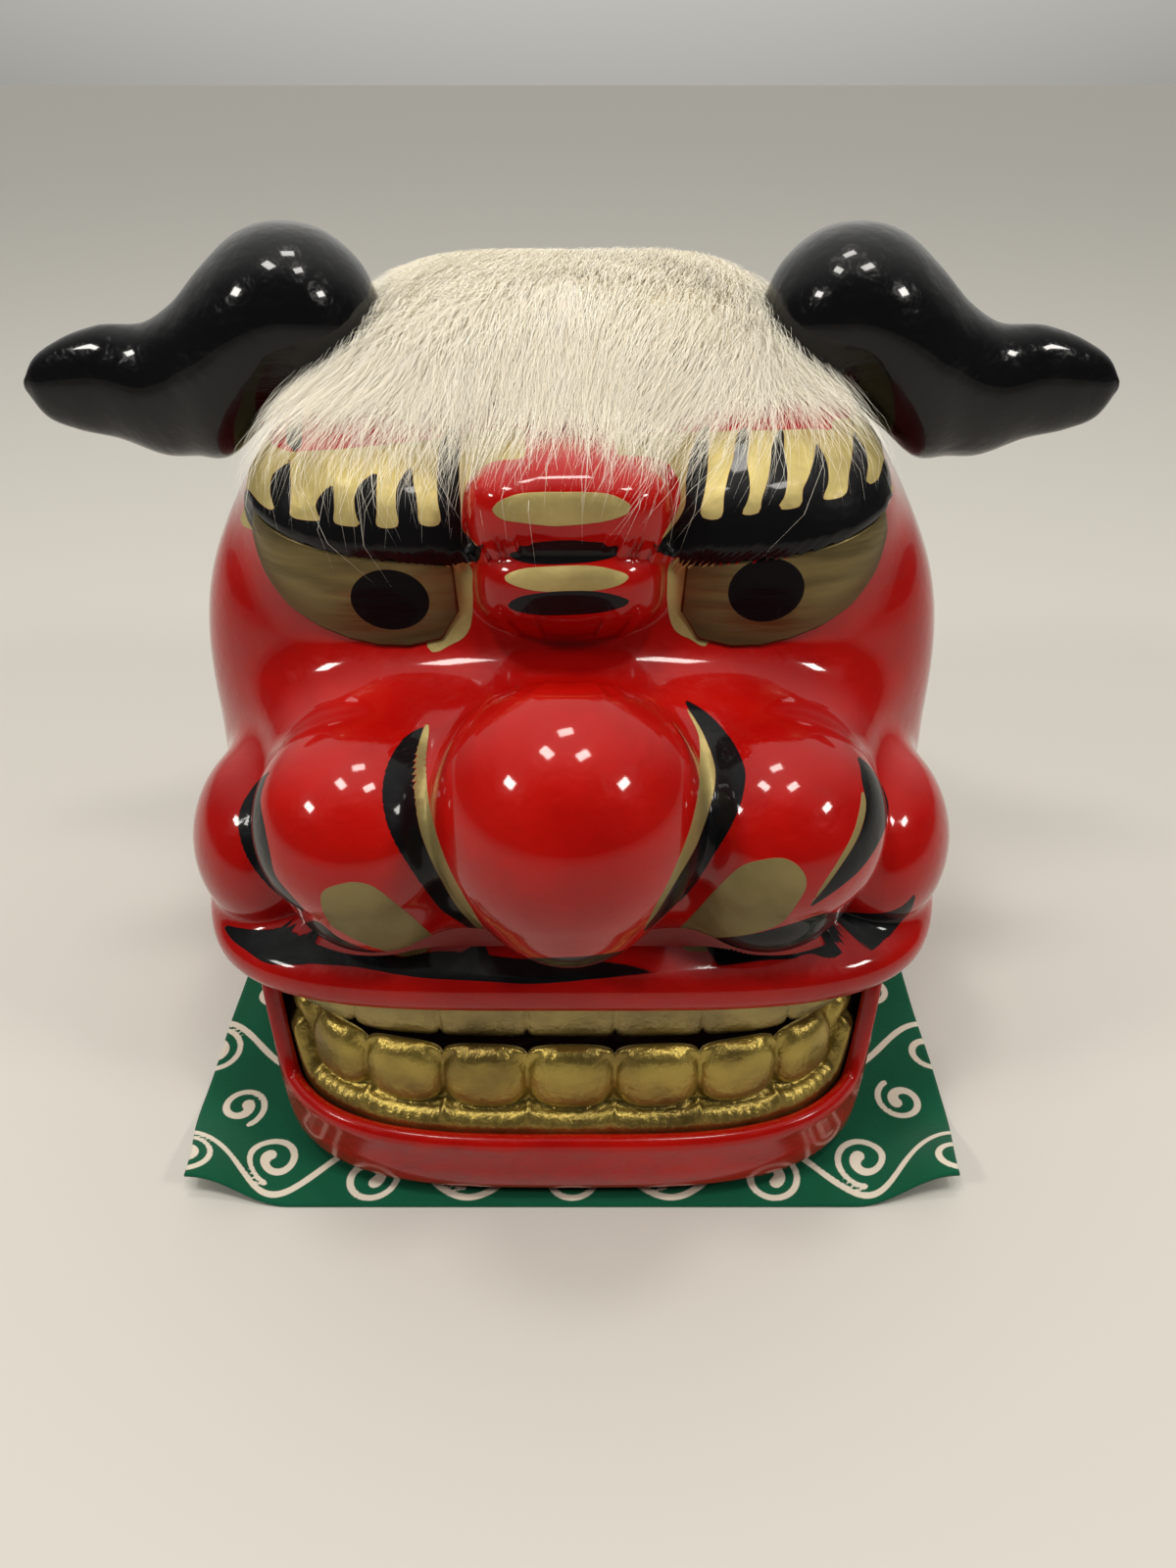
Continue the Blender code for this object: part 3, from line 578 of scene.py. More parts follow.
# Hinge rod: a plain wooden dowel across the head, fixed in the upper half and free to turn in the cheeks of
# the jaw. Its mesh is the frame's own, and it only gets its wood here.
dowel = Finish("dowel_wood")
grain = dowel.noise(260, 4.0, stretch=(0.06, 1.0, 1.0))
dowel.set(
    Base_Color=dowel.mix(grain, (0.50, 0.32, 0.16), (0.36, 0.20, 0.09)),
    Roughness=0.6,
    Normal=dowel.bump(grain, 0.0003),
)
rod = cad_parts["hinge_rod"]
for slot in rod.material_slots:
    slot.material = dowel.material


# Upper head: skull, brows, nose, nostrils, cheeks and upper lip in one hollow shell of paper, laid up over a
# mould. It is lacquered red all over, and the black and gold strokes are painted on that by hand.
HEAD_WIDTH = 276 * MM
HEAD_LENGTH = 265 * MM
HEAD_HEIGHT = 197.5 * MM
LIP_EDGE = 86.5 * MM
NOSE_TIP = -135 * MM
REAR_RIM = 130 * MM
SHELL_WALL = 4.5 * MM
LID_STEP = 3.5 * MM
LID_HEIGHT_DEGREES = 40
HEAD_COLUMNS = 440
OUTER_ROWS = 206
INNER_ROWS = 18
BLACK_LACQUER = (0.004, 0.004, 0.005)
LOBES = (
    # name, x, y, z, rx, ry, rz, plan power, side power, blend
    ("skull", 0, 0.781, 0.322, 0.430, 0.358, 0.678, 2.8, 3.0, 0),
    ("temples", 0, 0.698, 0.271, 0.505, 0.345, 0.582, 4.0, 3.0, 0.09),
    ("sides", 0, 0.698, 0.119, 0.467, 0.423, 0.304, 3.5, 3.0, 0.06),
    ("muzzle", 0, 0.472, 0.256, 0.406, 0.321, 0.253, 3.0, 3.0, 0.08),
    ("lip", 0, 0.491, 0.028, 0.493, 0.385, 0.106, 4.0, 2.5, 0.03),
    ("brow", 0.232, 0.555, 0.661, 0.178, 0.196, 0.223, 2.4, 2.2, 0.03),
    ("cheek", 0.388, 0.347, 0.154, 0.110, 0.151, 0.182, 2.0, 2.0, 0.03),
    ("nostril foot", 0.235, 0.225, 0.190, 0.109, 0.128, 0.111, 2.0, 2.0, 0.03),
    ("nostril", 0.246, 0.219, 0.306, 0.130, 0.143, 0.177, 2.0, 2.0, 0.025),
    ("nose root", 0, 0.170, 0.261, 0.109, 0.143, 0.142, 2.0, 2.0, 0.02),
    ("nose", 0, 0.162, 0.372, 0.156, 0.162, 0.228, 2.0, 2.0, 0.02),
    ("bridge foot", 0, 0.394, 0.646, 0.112, 0.096, 0.086, 3.0, 3.0, 0.02),
    ("bridge pad", 0, 0.411, 0.767, 0.111, 0.098, 0.086, 3.0, 3.0, 0.015),
)
HEAD_MIDDLE = (0, 0.566, 0.322)
BROW_MIDDLE = (0.232, 0.509, 0.575)
EYE_OUTLINE = (
    # turn outwards, lower edge and lid edge in degrees, seen from the middle of the brow
    (-36, 4, 24),
    (-28, -7, 26),
    (-14, -11, 29),
    (0, -12, 31),
    (14, -10, 32),
    (28, -5, 33),
    (42, 4, 34),
    (54, 16, 35),
    (62, 28, 37),
)


def head_place(x, y, z):
    """A place on the upper head from its shares of the head's width, length and height."""
    return np.array([x * HEAD_WIDTH, NOSE_TIP + y * HEAD_LENGTH, LIP_EDGE + z * HEAD_HEIGHT])


def lobe_distance(points, lobe):
    """Distance outwards from a lobe along the line from its middle: r (1 - 1 / level), where the level is
    the superellipsoid ((|x/a|^p + |y/b|^p)^(q/p) + |z/c|^q)^(1/q)."""
    _, x, y, z, rx, ry, rz, plan_power, side_power, _ = lobe
    offset = points - head_place(x, y, z)
    scaled = np.abs(offset) / np.array([rx * HEAD_WIDTH, ry * HEAD_LENGTH, rz * HEAD_HEIGHT])
    if plan_power == side_power == 2:
        level = np.sqrt((scaled * scaled).sum(axis=1))
    else:
        plan = (scaled[:, 0] ** plan_power + scaled[:, 1] ** plan_power) ** (side_power / plan_power)
        level = (plan + scaled[:, 2] ** side_power) ** (1 / side_power)
    return np.sqrt((offset * offset).sum(axis=1)) * (1 - 1 / np.maximum(level, 1e-6))


def brow_angles(points):
    """Turn outwards and rise, in degrees, seen from the middle of the brow on that side."""
    offset = points - head_place(*BROW_MIDDLE)
    turn = np.degrees(np.arctan2(offset[:, 0], -offset[:, 1]))
    return turn, np.degrees(np.arctan2(offset[:, 2], np.hypot(offset[:, 0], offset[:, 1])))


def lid_step(points):
    """How far the lid stands out: full just above the eye, fading up the brow and at the eye's corners."""
    turn, rise = brow_angles(points)
    turns, _, lids = zip(*EYE_OUTLINE)
    above = rise - np.interp(turn, turns, lids)
    ends = smooth_step(turns[0] - 14, turns[0], turn) * (1 - smooth_step(turns[-1], turns[-1] + 14, turn))
    fading = smooth_step(0.3 * LID_HEIGHT_DEGREES, LID_HEIGHT_DEGREES, above)
    band = smooth_step(-1.0, 0.6, above) * (1 - fading)
    return LID_STEP * band * ends


def skin_distance(points):
    """Distance outwards from the upper head's skin: all lobes run together by a smooth minimum."""
    points = points.copy()
    points[:, 0] = np.abs(points[:, 0])
    distance = lobe_distance(points, LOBES[0])
    for lobe in LOBES[1:]:
        other, blend = lobe_distance(points, lobe), lobe[-1] * HEAD_WIDTH
        share = np.clip(0.5 + 0.5 * (other - distance) / blend, 0, 1)
        distance = other * (1 - share) + distance * share - blend * share * (1 - share)
    return distance - lid_step(points)


def skin_points(origins, directions, level=0.0, start=0.0):
    """Where rays from inside the head first reach the given distance outside its skin: steps of 2% of the
    head's width until a ray is out, then bisections of its last step."""
    step = 0.02 * HEAD_WIDTH
    origins = np.broadcast_to(origins, directions.shape)
    level = np.broadcast_to(level, len(directions))
    near = np.full(len(directions), start)
    going = np.arange(len(directions))
    for _ in range(60):
        ahead = skin_distance(origins[going] + (near[going] + step)[:, None] * directions[going])
        going = going[ahead < level[going]]
        if not len(going):
            break
        near[going] += step
    far = near + step
    for _ in range(11):
        middle = (near + far) / 2
        within = skin_distance(origins + middle[:, None] * directions) < level
        near, far = np.where(within, middle, near), np.where(within, far, middle)
    return origins + ((near + far) / 2)[:, None] * directions


def directions_from(azimuth, elevation):
    """Unit vectors: azimuth 0 is the front, -Y, and turns towards +X."""
    flat = np.cos(elevation)
    return np.stack([flat * np.sin(azimuth), -flat * np.cos(azimuth), np.sin(elevation)], axis=-1)


def rim_elevation(azimuth, level):
    """The lowest elevation at which the shell is above the lip's edge and in front of the rear rim."""
    middle = head_place(*HEAD_MIDDLE)
    low, high = np.full(len(azimuth), math.radians(-60)), np.full(len(azimuth), math.radians(80))
    for _ in range(15):
        elevation = (low + high) / 2
        points = skin_points(middle, directions_from(azimuth, elevation), level, 30 * MM)
        kept = (points[:, 2] > LIP_EDGE) & (points[:, 1] < REAR_RIM)
        low, high = np.where(kept, low, elevation), np.where(kept, elevation, high)
    return high


def shell_rows(azimuth, rows, level):
    """Rows of the shell at a level, from its rim up to just under the crown, and the crown's point."""
    middle = head_place(*HEAD_MIDDLE)
    rim = rim_elevation(azimuth, level)
    rise = np.linspace(0, 1, rows, endpoint=False)[:, None] ** 1.5
    elevation = rim + rise * (math.pi / 2 - rim)
    directions = directions_from(np.broadcast_to(azimuth, elevation.shape), elevation)
    points = skin_points(middle, directions.reshape(-1, 3), level, 30 * MM).reshape(rows, -1, 3)
    crown = skin_points(middle, np.array([[0.0, 0.0, 1.0]]), level)[0]
    return points, crown


# The painter's strokes, in millimetres across and up on a drawing plane that faces the viewer, who stands
# where the camera is. Each stroke falls on whatever part of the skin lies behind its outline there.
DRAWING_DISTANCE = 430
BLACK_STROKES = {
    "nose right": (
        (-61.8, 22), (-66.2, 20.1), (-70.7, 16.7), (-75.9, 8.2), (-78.1, -2.2), (-77, -12.7),
        (-72.9, -23.1), (-64.4, -36.5), (-56.2, -47.3), (-47.6, -53.2), (-38.3, -60.3), (-36.1, -61),
        (-48.7, -48), (-55.1, -37.6), (-60.3, -27.2), (-64, -16.7), (-65.9, -4.1), (-65.9, 8.2),
        (-62.9, 20.1),
    ),
    "nose left": (
        (36.8, 31.3), (42.4, 29), (47.6, 24.9), (54, 17.5), (58, 10.4), (59.9, 3), (58, -7.4), (54, -16.7),
        (47.6, -27.2), (39.4, -39.8), (30.9, -48), (22.7, -55.4), (21.2, -55.4), (26.8, -48), (30.9, -40.9),
        (36.1, -32.4), (41.3, -23.1), (45.8, -10.4), (48.4, 1.1), (47.6, 9.3), (43.5, 19.7),
    ),
    "cheek right": (
        (-120.2, 5.2), (-124.3, 2.2), (-128, -2.2), (-131.7, -8.6), (-132.8, -15.6), (-130.6, -25.3),
        (-125, -34.6), (-117.6, -42), (-107.2, -48.7), (-113.5, -41.3), (-118.7, -34.6), (-120.9, -25.3),
        (-122.8, -15.6), (-124.3, -6.3), (-122.4, 1.9),
    ),
    "cheek left": (
        (102, 10.8), (105.7, 8.2), (108.3, 5.2), (112.4, -2.2), (114.2, -9.7), (112, -19), (106, -29.4),
        (97.9, -37.6), (84.1, -46.9), (89.7, -39.8), (97.9, -28.3), (103.1, -19), (105.7, -8.6), (104.2, 0),
        (103.1, 7.4),
    ),
    "lip": (
        (-138.4, -53.6), (-134, -54.3), (-125, -55.4), (-111.6, -54.6), (-103.5, -51.8), (-94.5, -58.4),
        (-83.4, -62.9), (-67.7, -65.5), (-52.1, -65.9), (-31.3, -65.9), (-11.2, -65.9), (7.4, -64.4),
        (32, -59.5), (58, -57.7), (77, -53.2), (91.5, -48.8), (110.5, -49.1), (119.1, -46.5),
        (124.3, -41.7), (122.8, -47.6), (119.8, -51.3), (111.5, -60.6), (102.1, -64.8), (78.9, -65.9),
        (58, -68.1), (32, -70.7), (6, -73.7), (-20.5, -75.9), (-41.3, -74.8), (-62.1, -73.7),
        (-78.1, -71.4), (-93.8, -68.8), (-109.4, -68.6), (-121.5, -68.2), (-130.2, -62.9), (-135.4, -58.8),
    ),
    "brow right": (
        (-124.5, 94.2), (-120.6, 91.6), (-114.2, 89.5), (-105.6, 87), (-97.8, 85.2), (-87.8, 84.2),
        (-77.2, 83.8), (-66.5, 83.6), (-55.8, 83.6), (-45.8, 83.5), (-40.3, 85.1), (-40.3, 87.6),
        (-45.1, 93.6), (-47.8, 97.2), (-48.5, 106.5), (-49, 113.6), (-49, 122.1), (-48.3, 129.2),
        (-49.4, 137.8), (-55.1, 132.1), (-56.9, 125.7), (-57.2, 116.4), (-57.1, 107.9), (-56.2, 98.8),
        (-63.6, 98.6), (-64.7, 105), (-65.2, 109.3), (-66.3, 114.3), (-67.1, 120.3), (-70.8, 116.4),
        (-72.8, 111.4), (-72.9, 105), (-72.3, 97.8), (-80, 97.8), (-80.2, 103.6), (-80.4, 110.7),
        (-80.2, 118.2), (-82.9, 117.1), (-86.8, 113.6), (-88.6, 109.3), (-88.6, 105), (-87.7, 100.8),
        (-86.8, 97.8), (-96, 98.9), (-96.4, 105), (-97, 113.6), (-100.7, 110.7), (-103.4, 106.5),
        (-102.8, 102.9), (-102.1, 99.9), (-112.4, 101.3), (-113, 106.5), (-112.8, 113.6), (-113.1, 119.3),
        (-111.9, 125), (-109.2, 127.8), (-108.5, 134.9), (-108.5, 144.2), (-112, 139.2), (-114.5, 134.9),
        (-114.2, 129.2), (-111.9, 126.4), (-114.9, 121.4), (-117.7, 119.6), (-120.2, 116.4),
        (-120.6, 110.7), (-119.9, 107.2), (-118.8, 103.2), (-124.5, 106.5), (-129.5, 112.1),
        (-130.6, 106.5), (-129.5, 100.8), (-127, 96.5),
    ),
    "brow left": (
        (27.2, 89.7), (30.4, 86.8), (46.8, 87), (61, 87.8), (71.7, 89.3), (79.5, 90.7), (85.9, 91.8),
        (93, 93.9), (102.3, 97.8), (109.4, 102.8), (114.4, 110.3), (115.2, 115.3), (114.2, 120.3),
        (112.6, 123.9), (111.7, 120.3), (109.8, 115.3), (105.8, 114.1), (106.3, 121), (105.7, 126),
        (104.4, 128.8), (101.9, 132.4), (101, 138.8), (100.5, 144.5), (99.7, 143.1), (100.1, 138.1),
        (100.6, 133.1), (100.4, 126), (98.9, 116.7), (97.7, 109.8), (89.5, 108.1), (91.2, 113.9),
        (91.2, 119.6), (89.8, 124.6), (87.7, 128.1), (86.8, 131.7), (85.8, 123.9), (83.8, 116.7),
        (81.6, 111.8), (80.6, 105.5), (72.4, 104.5), (74.5, 108.9), (75.6, 114.6), (75.6, 121),
        (74.5, 126.7), (74.4, 133.1), (73.1, 135.2), (70.2, 129.6), (69.2, 121), (68.1, 114.6), (66, 108.2),
        (64.9, 103.1), (58.6, 102.4), (60.3, 106.8), (61.4, 111), (61.3, 116), (60.4, 122.4), (61, 130.3),
        (60.3, 136), (56.7, 132.4), (55.3, 123.9), (53.2, 116.7), (51.7, 109.6), (50.5, 101.1),
        (42.8, 101.8), (44.3, 111), (45.3, 118.2), (45.7, 126.7), (45.9, 135.2), (44.6, 136.7),
        (41.8, 133.1), (39.3, 126.7), (38.1, 121), (37.1, 113.9), (37.1, 106.8), (34.7, 101.1),
        (30.4, 95.4), (27.2, 91.8),
    ),
    "bridge upper": (
        (-30.1, 87.1), (-24.2, 90.4), (-14.9, 92.3), (0, 92.3), (7.4, 90.8), (12.7, 88.6), (9.3, 86),
        (0, 84.1), (-14.9, 83.4), (-24.2, 84.1),
    ),
    "bridge lower": (
        (-30.5, 67.7), (-26, 71.1), (-14.9, 72.9), (0, 73.3), (10.4, 71.8), (16, 69.2), (11.2, 66.6),
        (1.9, 64.7), (-14.9, 64), (-25.3, 65.1),
    ),
}
GOLD_STROKES = {
    "eye corner right": (
        (-61, 84.8), (-45.4, 83.4), (-43.9, 74.4), (-43.9, 64), (-45.8, 57.3), (-51.3, 53.2), (-61, 52.1),
    ),
    "eye corner left": (
        (46.1, 87.1), (32, 85.2), (30.1, 75.2), (30.5, 65.5), (32.7, 58.8), (38, 55.4), (46.1, 54.3),
    ),
    "nose right": (
        (-62.9, 20.8), (-60.3, 22), (-61.4, 10.4), (-61, -2.2), (-59.2, -12.7), (-56.2, -23.1),
        (-52.5, -32.4), (-47.6, -41.7), (-36.1, -60.7), (-37.2, -60.7), (-48.7, -48), (-55.1, -37.6),
        (-60.3, -27.2), (-64, -16.7), (-65.9, -4.1), (-65.9, 8.2),
    ),
    "nose left": (
        (37.2, 29), (42, 18.6), (42.4, 8.2), (42, -2.2), (39.4, -14.9), (36.1, -24.2), (30.9, -36.5),
        (25.7, -46.1), (21.2, -55.4), (22.7, -55.4), (28.3, -48), (32.4, -40.9), (37.2, -32.4),
        (42.4, -23.1), (46.9, -10.4), (49.5, 1.1), (48.4, 9.3), (44.3, 19.7),
    ),
    "cheek left": (
        (104.2, -2.2), (105.7, -8.6), (103.1, -19), (97.9, -28.3), (89.7, -39.8), (83.4, -47.3),
        (87.8, -40.2), (95.3, -28.7), (100.5, -19), (103.1, -10),
    ),
    "drop right": (
        (-101.6, -42.8), (-100.1, -40.2), (-96.7, -38.7), (-89.3, -37.2), (-82.2, -38.7), (-74.8, -43.9),
        (-64.4, -52.5), (-52.8, -64.4), (-59.5, -65.5), (-72.6, -64.4), (-83.4, -61.4), (-94.5, -55.8),
        (-97.9, -53.2), (-100.8, -48),
    ),
    "drop left": (
        (31.3, -60.3), (41.3, -48), (49.9, -38.7), (58, -31.3), (66.6, -28.7), (74.8, -28.3), (81.1, -32.4),
        (83, -38.7), (78.9, -46.1), (72.9, -53.2), (63.3, -56.6), (47.6, -59.5),
    ),
    "brow right": (
        (-122.7, 132.8), (-120.6, 129.9), (-114.2, 126.4), (-103.5, 126.7), (-87.8, 127.8), (-73.6, 129.2),
        (-59.4, 130.7), (-48, 132.8), (-38, 134.2), (-25.9, 134.9), (-23.8, 129.2), (-24.8, 123.9),
        (-34.5, 122.8), (-39.4, 120.7), (-44.4, 116.4), (-46.6, 112.1), (-47.6, 105), (-47.8, 97.2),
        (-45.1, 85.1), (-124.2, 95.1), (-130.3, 106.5), (-129.7, 113.6), (-128.4, 120.7), (-127, 127.8),
    ),
    "brow left": (
        (11.2, 133.8), (19, 133.1), (29, 133.1), (43.2, 133.8), (66.7, 134.4), (78.8, 134.7), (86.6, 134.9),
        (92.3, 134.5), (93, 138.1), (99.4, 139.2), (100.1, 144.1), (103, 144.1), (110.1, 133.1),
        (112.3, 125.3), (113, 118.2), (109.4, 106.8), (32.5, 92.5), (27.5, 91.8), (32.5, 101.1),
        (35, 106.8), (34.7, 113.9), (33.2, 117.5), (30.4, 121.7), (24, 123.9), (15.4, 124.9), (11.2, 125.3),
    ),
    "bridge upper": (
        (-36.5, 104.2), (-32.7, 107.9), (-24.2, 110.5), (-9.3, 110.9), (5.6, 110.5), (13.4, 107.9),
        (16.7, 104.6), (11.9, 101.2), (1.9, 99), (-11.2, 97.9), (-24.2, 99), (-32.7, 100.5),
    ),
    "bridge lower": (
        (-32, 78.1), (-26, 81.5), (-14.9, 82.6), (0, 83), (9.3, 81.5), (15.6, 78.9), (11.9, 75.5),
        (1.9, 73.3), (-14.9, 72.9), (-25.3, 74.4),
    ),
}


def rounded_outline(outline, steps=4):
    """A closed Catmull-Rom curve through the points of an outline."""
    p = np.array(outline, float)
    before, after, beyond = np.roll(p, 1, 0), np.roll(p, -1, 0), np.roll(p, -2, 0)
    curve = []
    for t in np.linspace(0, 1, steps, endpoint=False):
        cubic = 3 * p - before - 3 * after + beyond
        square = 2 * before - 5 * p + 4 * after - beyond
        curve.append(0.5 * (2 * p + (after - before) * t + square * t * t + cubic * t**3))
    return np.stack(curve, axis=1).reshape(-1, 2)


def inside_outline(points, outline):
    """Distance inside a closed outline, negative outside: the nearest edge, signed by crossings counted."""
    a = rounded_outline(outline)
    b = np.roll(a, -1, 0)
    depth = np.full(len(points), -9.0)
    low, high = a.min(axis=0) - 8, a.max(axis=0) + 8
    near = np.flatnonzero(((points > low) & (points < high)).all(axis=1))
    at = points[near][:, None]
    run = b - a
    share = np.clip(((at - a) * run).sum(axis=2) / np.maximum((run * run).sum(axis=1), 1e-9), 0, 1)
    away = np.sqrt((((a + share[..., None] * run) - at) ** 2).sum(axis=2)).min(axis=1)
    crosses = (a[:, 1] > at[..., 1]) != (b[:, 1] > at[..., 1])
    run_up = np.where(np.abs(run[:, 1]) < 1e-9, 1e-9, run[:, 1])
    crossing = run[:, 0] * (at[..., 1] - a[:, 1]) / run_up + a[:, 0]
    inside = (crosses & (at[..., 0] < crossing)).sum(axis=1) % 2 == 1
    depth[near] = np.where(inside, away, -away)
    return depth


def drawn_at(points):
    """Where points stand on the drawing plane: their sideways and upward shares of the way off, times the
    plane's distance."""
    off = points - CAMERA_PLACE
    lean = math.pi / 2 - CAMERA_TILT
    depth = off[:, 1] * math.cos(lean) - off[:, 2] * math.sin(lean)
    rise = off[:, 1] * math.sin(lean) + off[:, 2] * math.cos(lean)
    return np.stack([off[:, 0], rise], axis=1) / depth[:, None] * DRAWING_DISTANCE


def painted(vertices, strokes, rear=70 * MM):
    """How deep each point in front of the rear lies in any of the strokes, in millimetres, cut off alike on
    both sides of the outline so that a long face between two points changes colour halfway."""
    flat = drawn_at(vertices)
    front = np.flatnonzero(vertices[:, 1] < rear)
    cover = np.full(len(vertices), -9.0)
    for outline in strokes.values():
        cover[front] = np.maximum(cover[front], inside_outline(flat[front], outline))
    return np.clip(cover, -2, 2)


def lid_edge(vertices):
    """How deep each point lies in the black rim along the lid's lower edge, about 1.5 mm to a degree."""
    folded = vertices.copy()
    folded[:, 0] = np.abs(folded[:, 0])
    turn, rise = brow_angles(folded)
    turns, _, lids = zip(*EYE_OUTLINE)
    above = rise - np.interp(turn, turns, lids)
    along = np.minimum(turn - turns[0] + 2, turns[-1] + 3 - turn)
    return np.where(vertices[:, 1] < 0, 1.5 * np.minimum(np.minimum(above + 2.5, 3 - above), along), -9)


share = np.linspace(-1, 1, HEAD_COLUMNS, endpoint=False)
azimuth = math.pi * share * (0.62 + 0.38 * share**2)
outer, crown = shell_rows(azimuth, OUTER_ROWS, 0.0)
inner, crown_inside = shell_rows(azimuth, INNER_ROWS, -SHELL_WALL)
rows = np.concatenate([inner[::-1], outer])
vertices, faces = closed_rows(rows, crown_inside, crown)
count = len(azimuth) * len(inner)
outside = np.arange(len(vertices)) >= count
black = np.where(outside, np.maximum(painted(vertices, BLACK_STROKES), lid_edge(vertices).clip(-2, 2)), -2)
gold = np.where(outside, painted(vertices, GOLD_STROKES), -2)

skin = red_lacquer("head_lacquer")
edge_wobble = 0.25 * (skin.noise(160, 2.0) - 0.5)
is_black = (skin.attribute("black") + edge_wobble).rises(-0.12, 0.12)
is_gold = (skin.attribute("gold") + edge_wobble).rises(-0.12, 0.12) * (1 - is_black)
brushed = skin.noise(150, 3.0, stretch=(1.0, 1.0, 0.4))
worn = skin.noise(45, 4.0).rises(0.35, 0.75)
height = skin.node("SeparateXYZ", {}, {"Vector": skin.place()}, output="Z")
# The gilt is painted darker low on the head and lighter high up: painted shade on the lower strokes and
# painted light on the upper ones, where the ceiling lamps fall.
gilt_painted_shade_below = skin.mix(worn, (0.23, 0.18, 0.078), (0.16, 0.125, 0.053))
gilt_painted_light_above = skin.mix(worn, (0.52, 0.42, 0.165), (0.36, 0.285, 0.11))
gilt_lit_from_above = skin.mix(height.rises(0.13, 0.21), gilt_painted_shade_below, gilt_painted_light_above)
clear_coat(skin)
skin.set(
    Base_Color=skin.mix(is_black, skin.mix(is_gold, lacquer_red(skin), gilt_lit_from_above), BLACK_LACQUER),
    Metallic=0.4 * is_gold,
    Roughness=0.4 + 0.12 * brushed * is_gold,
    Coat_Weight=1 - 0.92 * is_gold - 0.5 * is_black,
    Normal=skin.bump(lacquer_lumps(skin) + 0.09 * is_black + 0.07 * is_gold, 0.0016),
)
head_shell = piece("head_shell", vertices, faces, [skin.material], black=black, gold=gold)
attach(head_shell, "head")
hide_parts("upper_head")


# Upper teeth: a strip of pressed paper with the teeth in low relief, painted gold and glued inside the upper
# lip. It hangs down towards the crowns of the lower row.
UPPER_TEETH = 9
UPPER_TOOTH_DROP = 16 * MM
UPPER_TOOTH_RISE = 8 * MM
UPPER_TOOTH_DEPTH = 6 * MM
TOOTH_RELIEF = 1 * MM

lip = next(lobe for lobe in LOBES if lobe[0] == "lip")
inset = SHELL_WALL + 2 * GAP
lip_front = NOSE_TIP + (lip[2] - lip[5]) * HEAD_LENGTH
places, points, outward, phase = tooth_row(
    lip[4] * HEAD_WIDTH, lip_front, lip[5] * HEAD_LENGTH, 0, inset, UPPER_TEETH
)
bulge = (1 - phase**8) ** 0.5
drop = UPPER_TOOTH_DROP * (1.14 - 0.7 * smooth_step(0.45, 0.85, np.abs(places) / places[-1]))
low = LIP_EDGE - drop * (0.9 + 0.1 * bulge)
high = LIP_EDGE + UPPER_TOOTH_RISE
face = -TOOTH_RELIEF * (1 - bulge)
loop = [
    (face - 2.2 * TOOTH_RELIEF, low),
    (face - TOOTH_RELIEF, low + 0.04 * drop),
    (face - 0.3 * TOOTH_RELIEF, low + 0.16 * drop),
    (face, low + 0.35 * drop),
    (face, low + 0.7 * drop),
    (0.5 * face, low + 0.98 * drop),
    (-0.3 * TOOTH_RELIEF, high),
    (-UPPER_TOOTH_DEPTH, high),
    (-UPPER_TOOTH_DEPTH, low),
]
vertices, faces = path_loft(points, outward, loop)
upper_gold = gold_paint("upper_teeth_gold", (0.36, 0.28, 0.11), (0.22, 0.17, 0.075))
upper_strip = piece("upper_teeth_strip", vertices, faces, [upper_gold.material])
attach(upper_strip, "head")
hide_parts("upper_teeth")


# Eyes: shells of paper set in under the lids and painted gold, each with a black pupil. The gold is painted
# darker and redder towards the lower edge, as painted shade and a painted reflection of the red skin.
EYE_WALL = 2.5 * MM
EYE_PROUD = 0.8 * MM
EYE_UNDER_LID_DEGREES = 1.1
PUPILS = {
    # across and up on the drawing plane, half width, half height, and tilt in degrees
    "left": (67.7, 73.7, 14.7, 11.9, 15),
    "right": (-75.2, 70.0, 15.1, 11.3, -10),
}
EYE_GRID = (80, 36)


def inside_oval(points, x, y, half_width, half_height, tilt):
    """Near enough the distance inside a tilted ellipse: 1 less the scaled radius, times the smaller half
    axis."""
    lean = math.radians(tilt)
    along = (points[:, 0] - x) * math.cos(lean) + (points[:, 1] - y) * math.sin(lean)
    across = (points[:, 1] - y) * math.cos(lean) - (points[:, 0] - x) * math.sin(lean)
    return (1 - np.hypot(along / half_width, across / half_height)) * min(half_width, half_height)


def eye_grid(columns, rows, level):
    """Points of the eye on the +X side on the skin at a level, over its outline."""
    turns, lowers, lids = (np.array(column, float) for column in zip(*EYE_OUTLINE))
    turn = np.linspace(turns[0], turns[-1], columns)
    lower = np.interp(turn, turns, lowers)
    upper = np.interp(turn, turns, lids) - EYE_UNDER_LID_DEGREES
    rise = lower + np.linspace(0, 1, rows)[:, None] * (upper - lower)
    directions = directions_from(np.radians(np.broadcast_to(turn, rise.shape)), np.radians(rise))
    return skin_points(head_place(*BROW_MIDDLE), directions.reshape(-1, 3), level).reshape(rows, columns, 3)


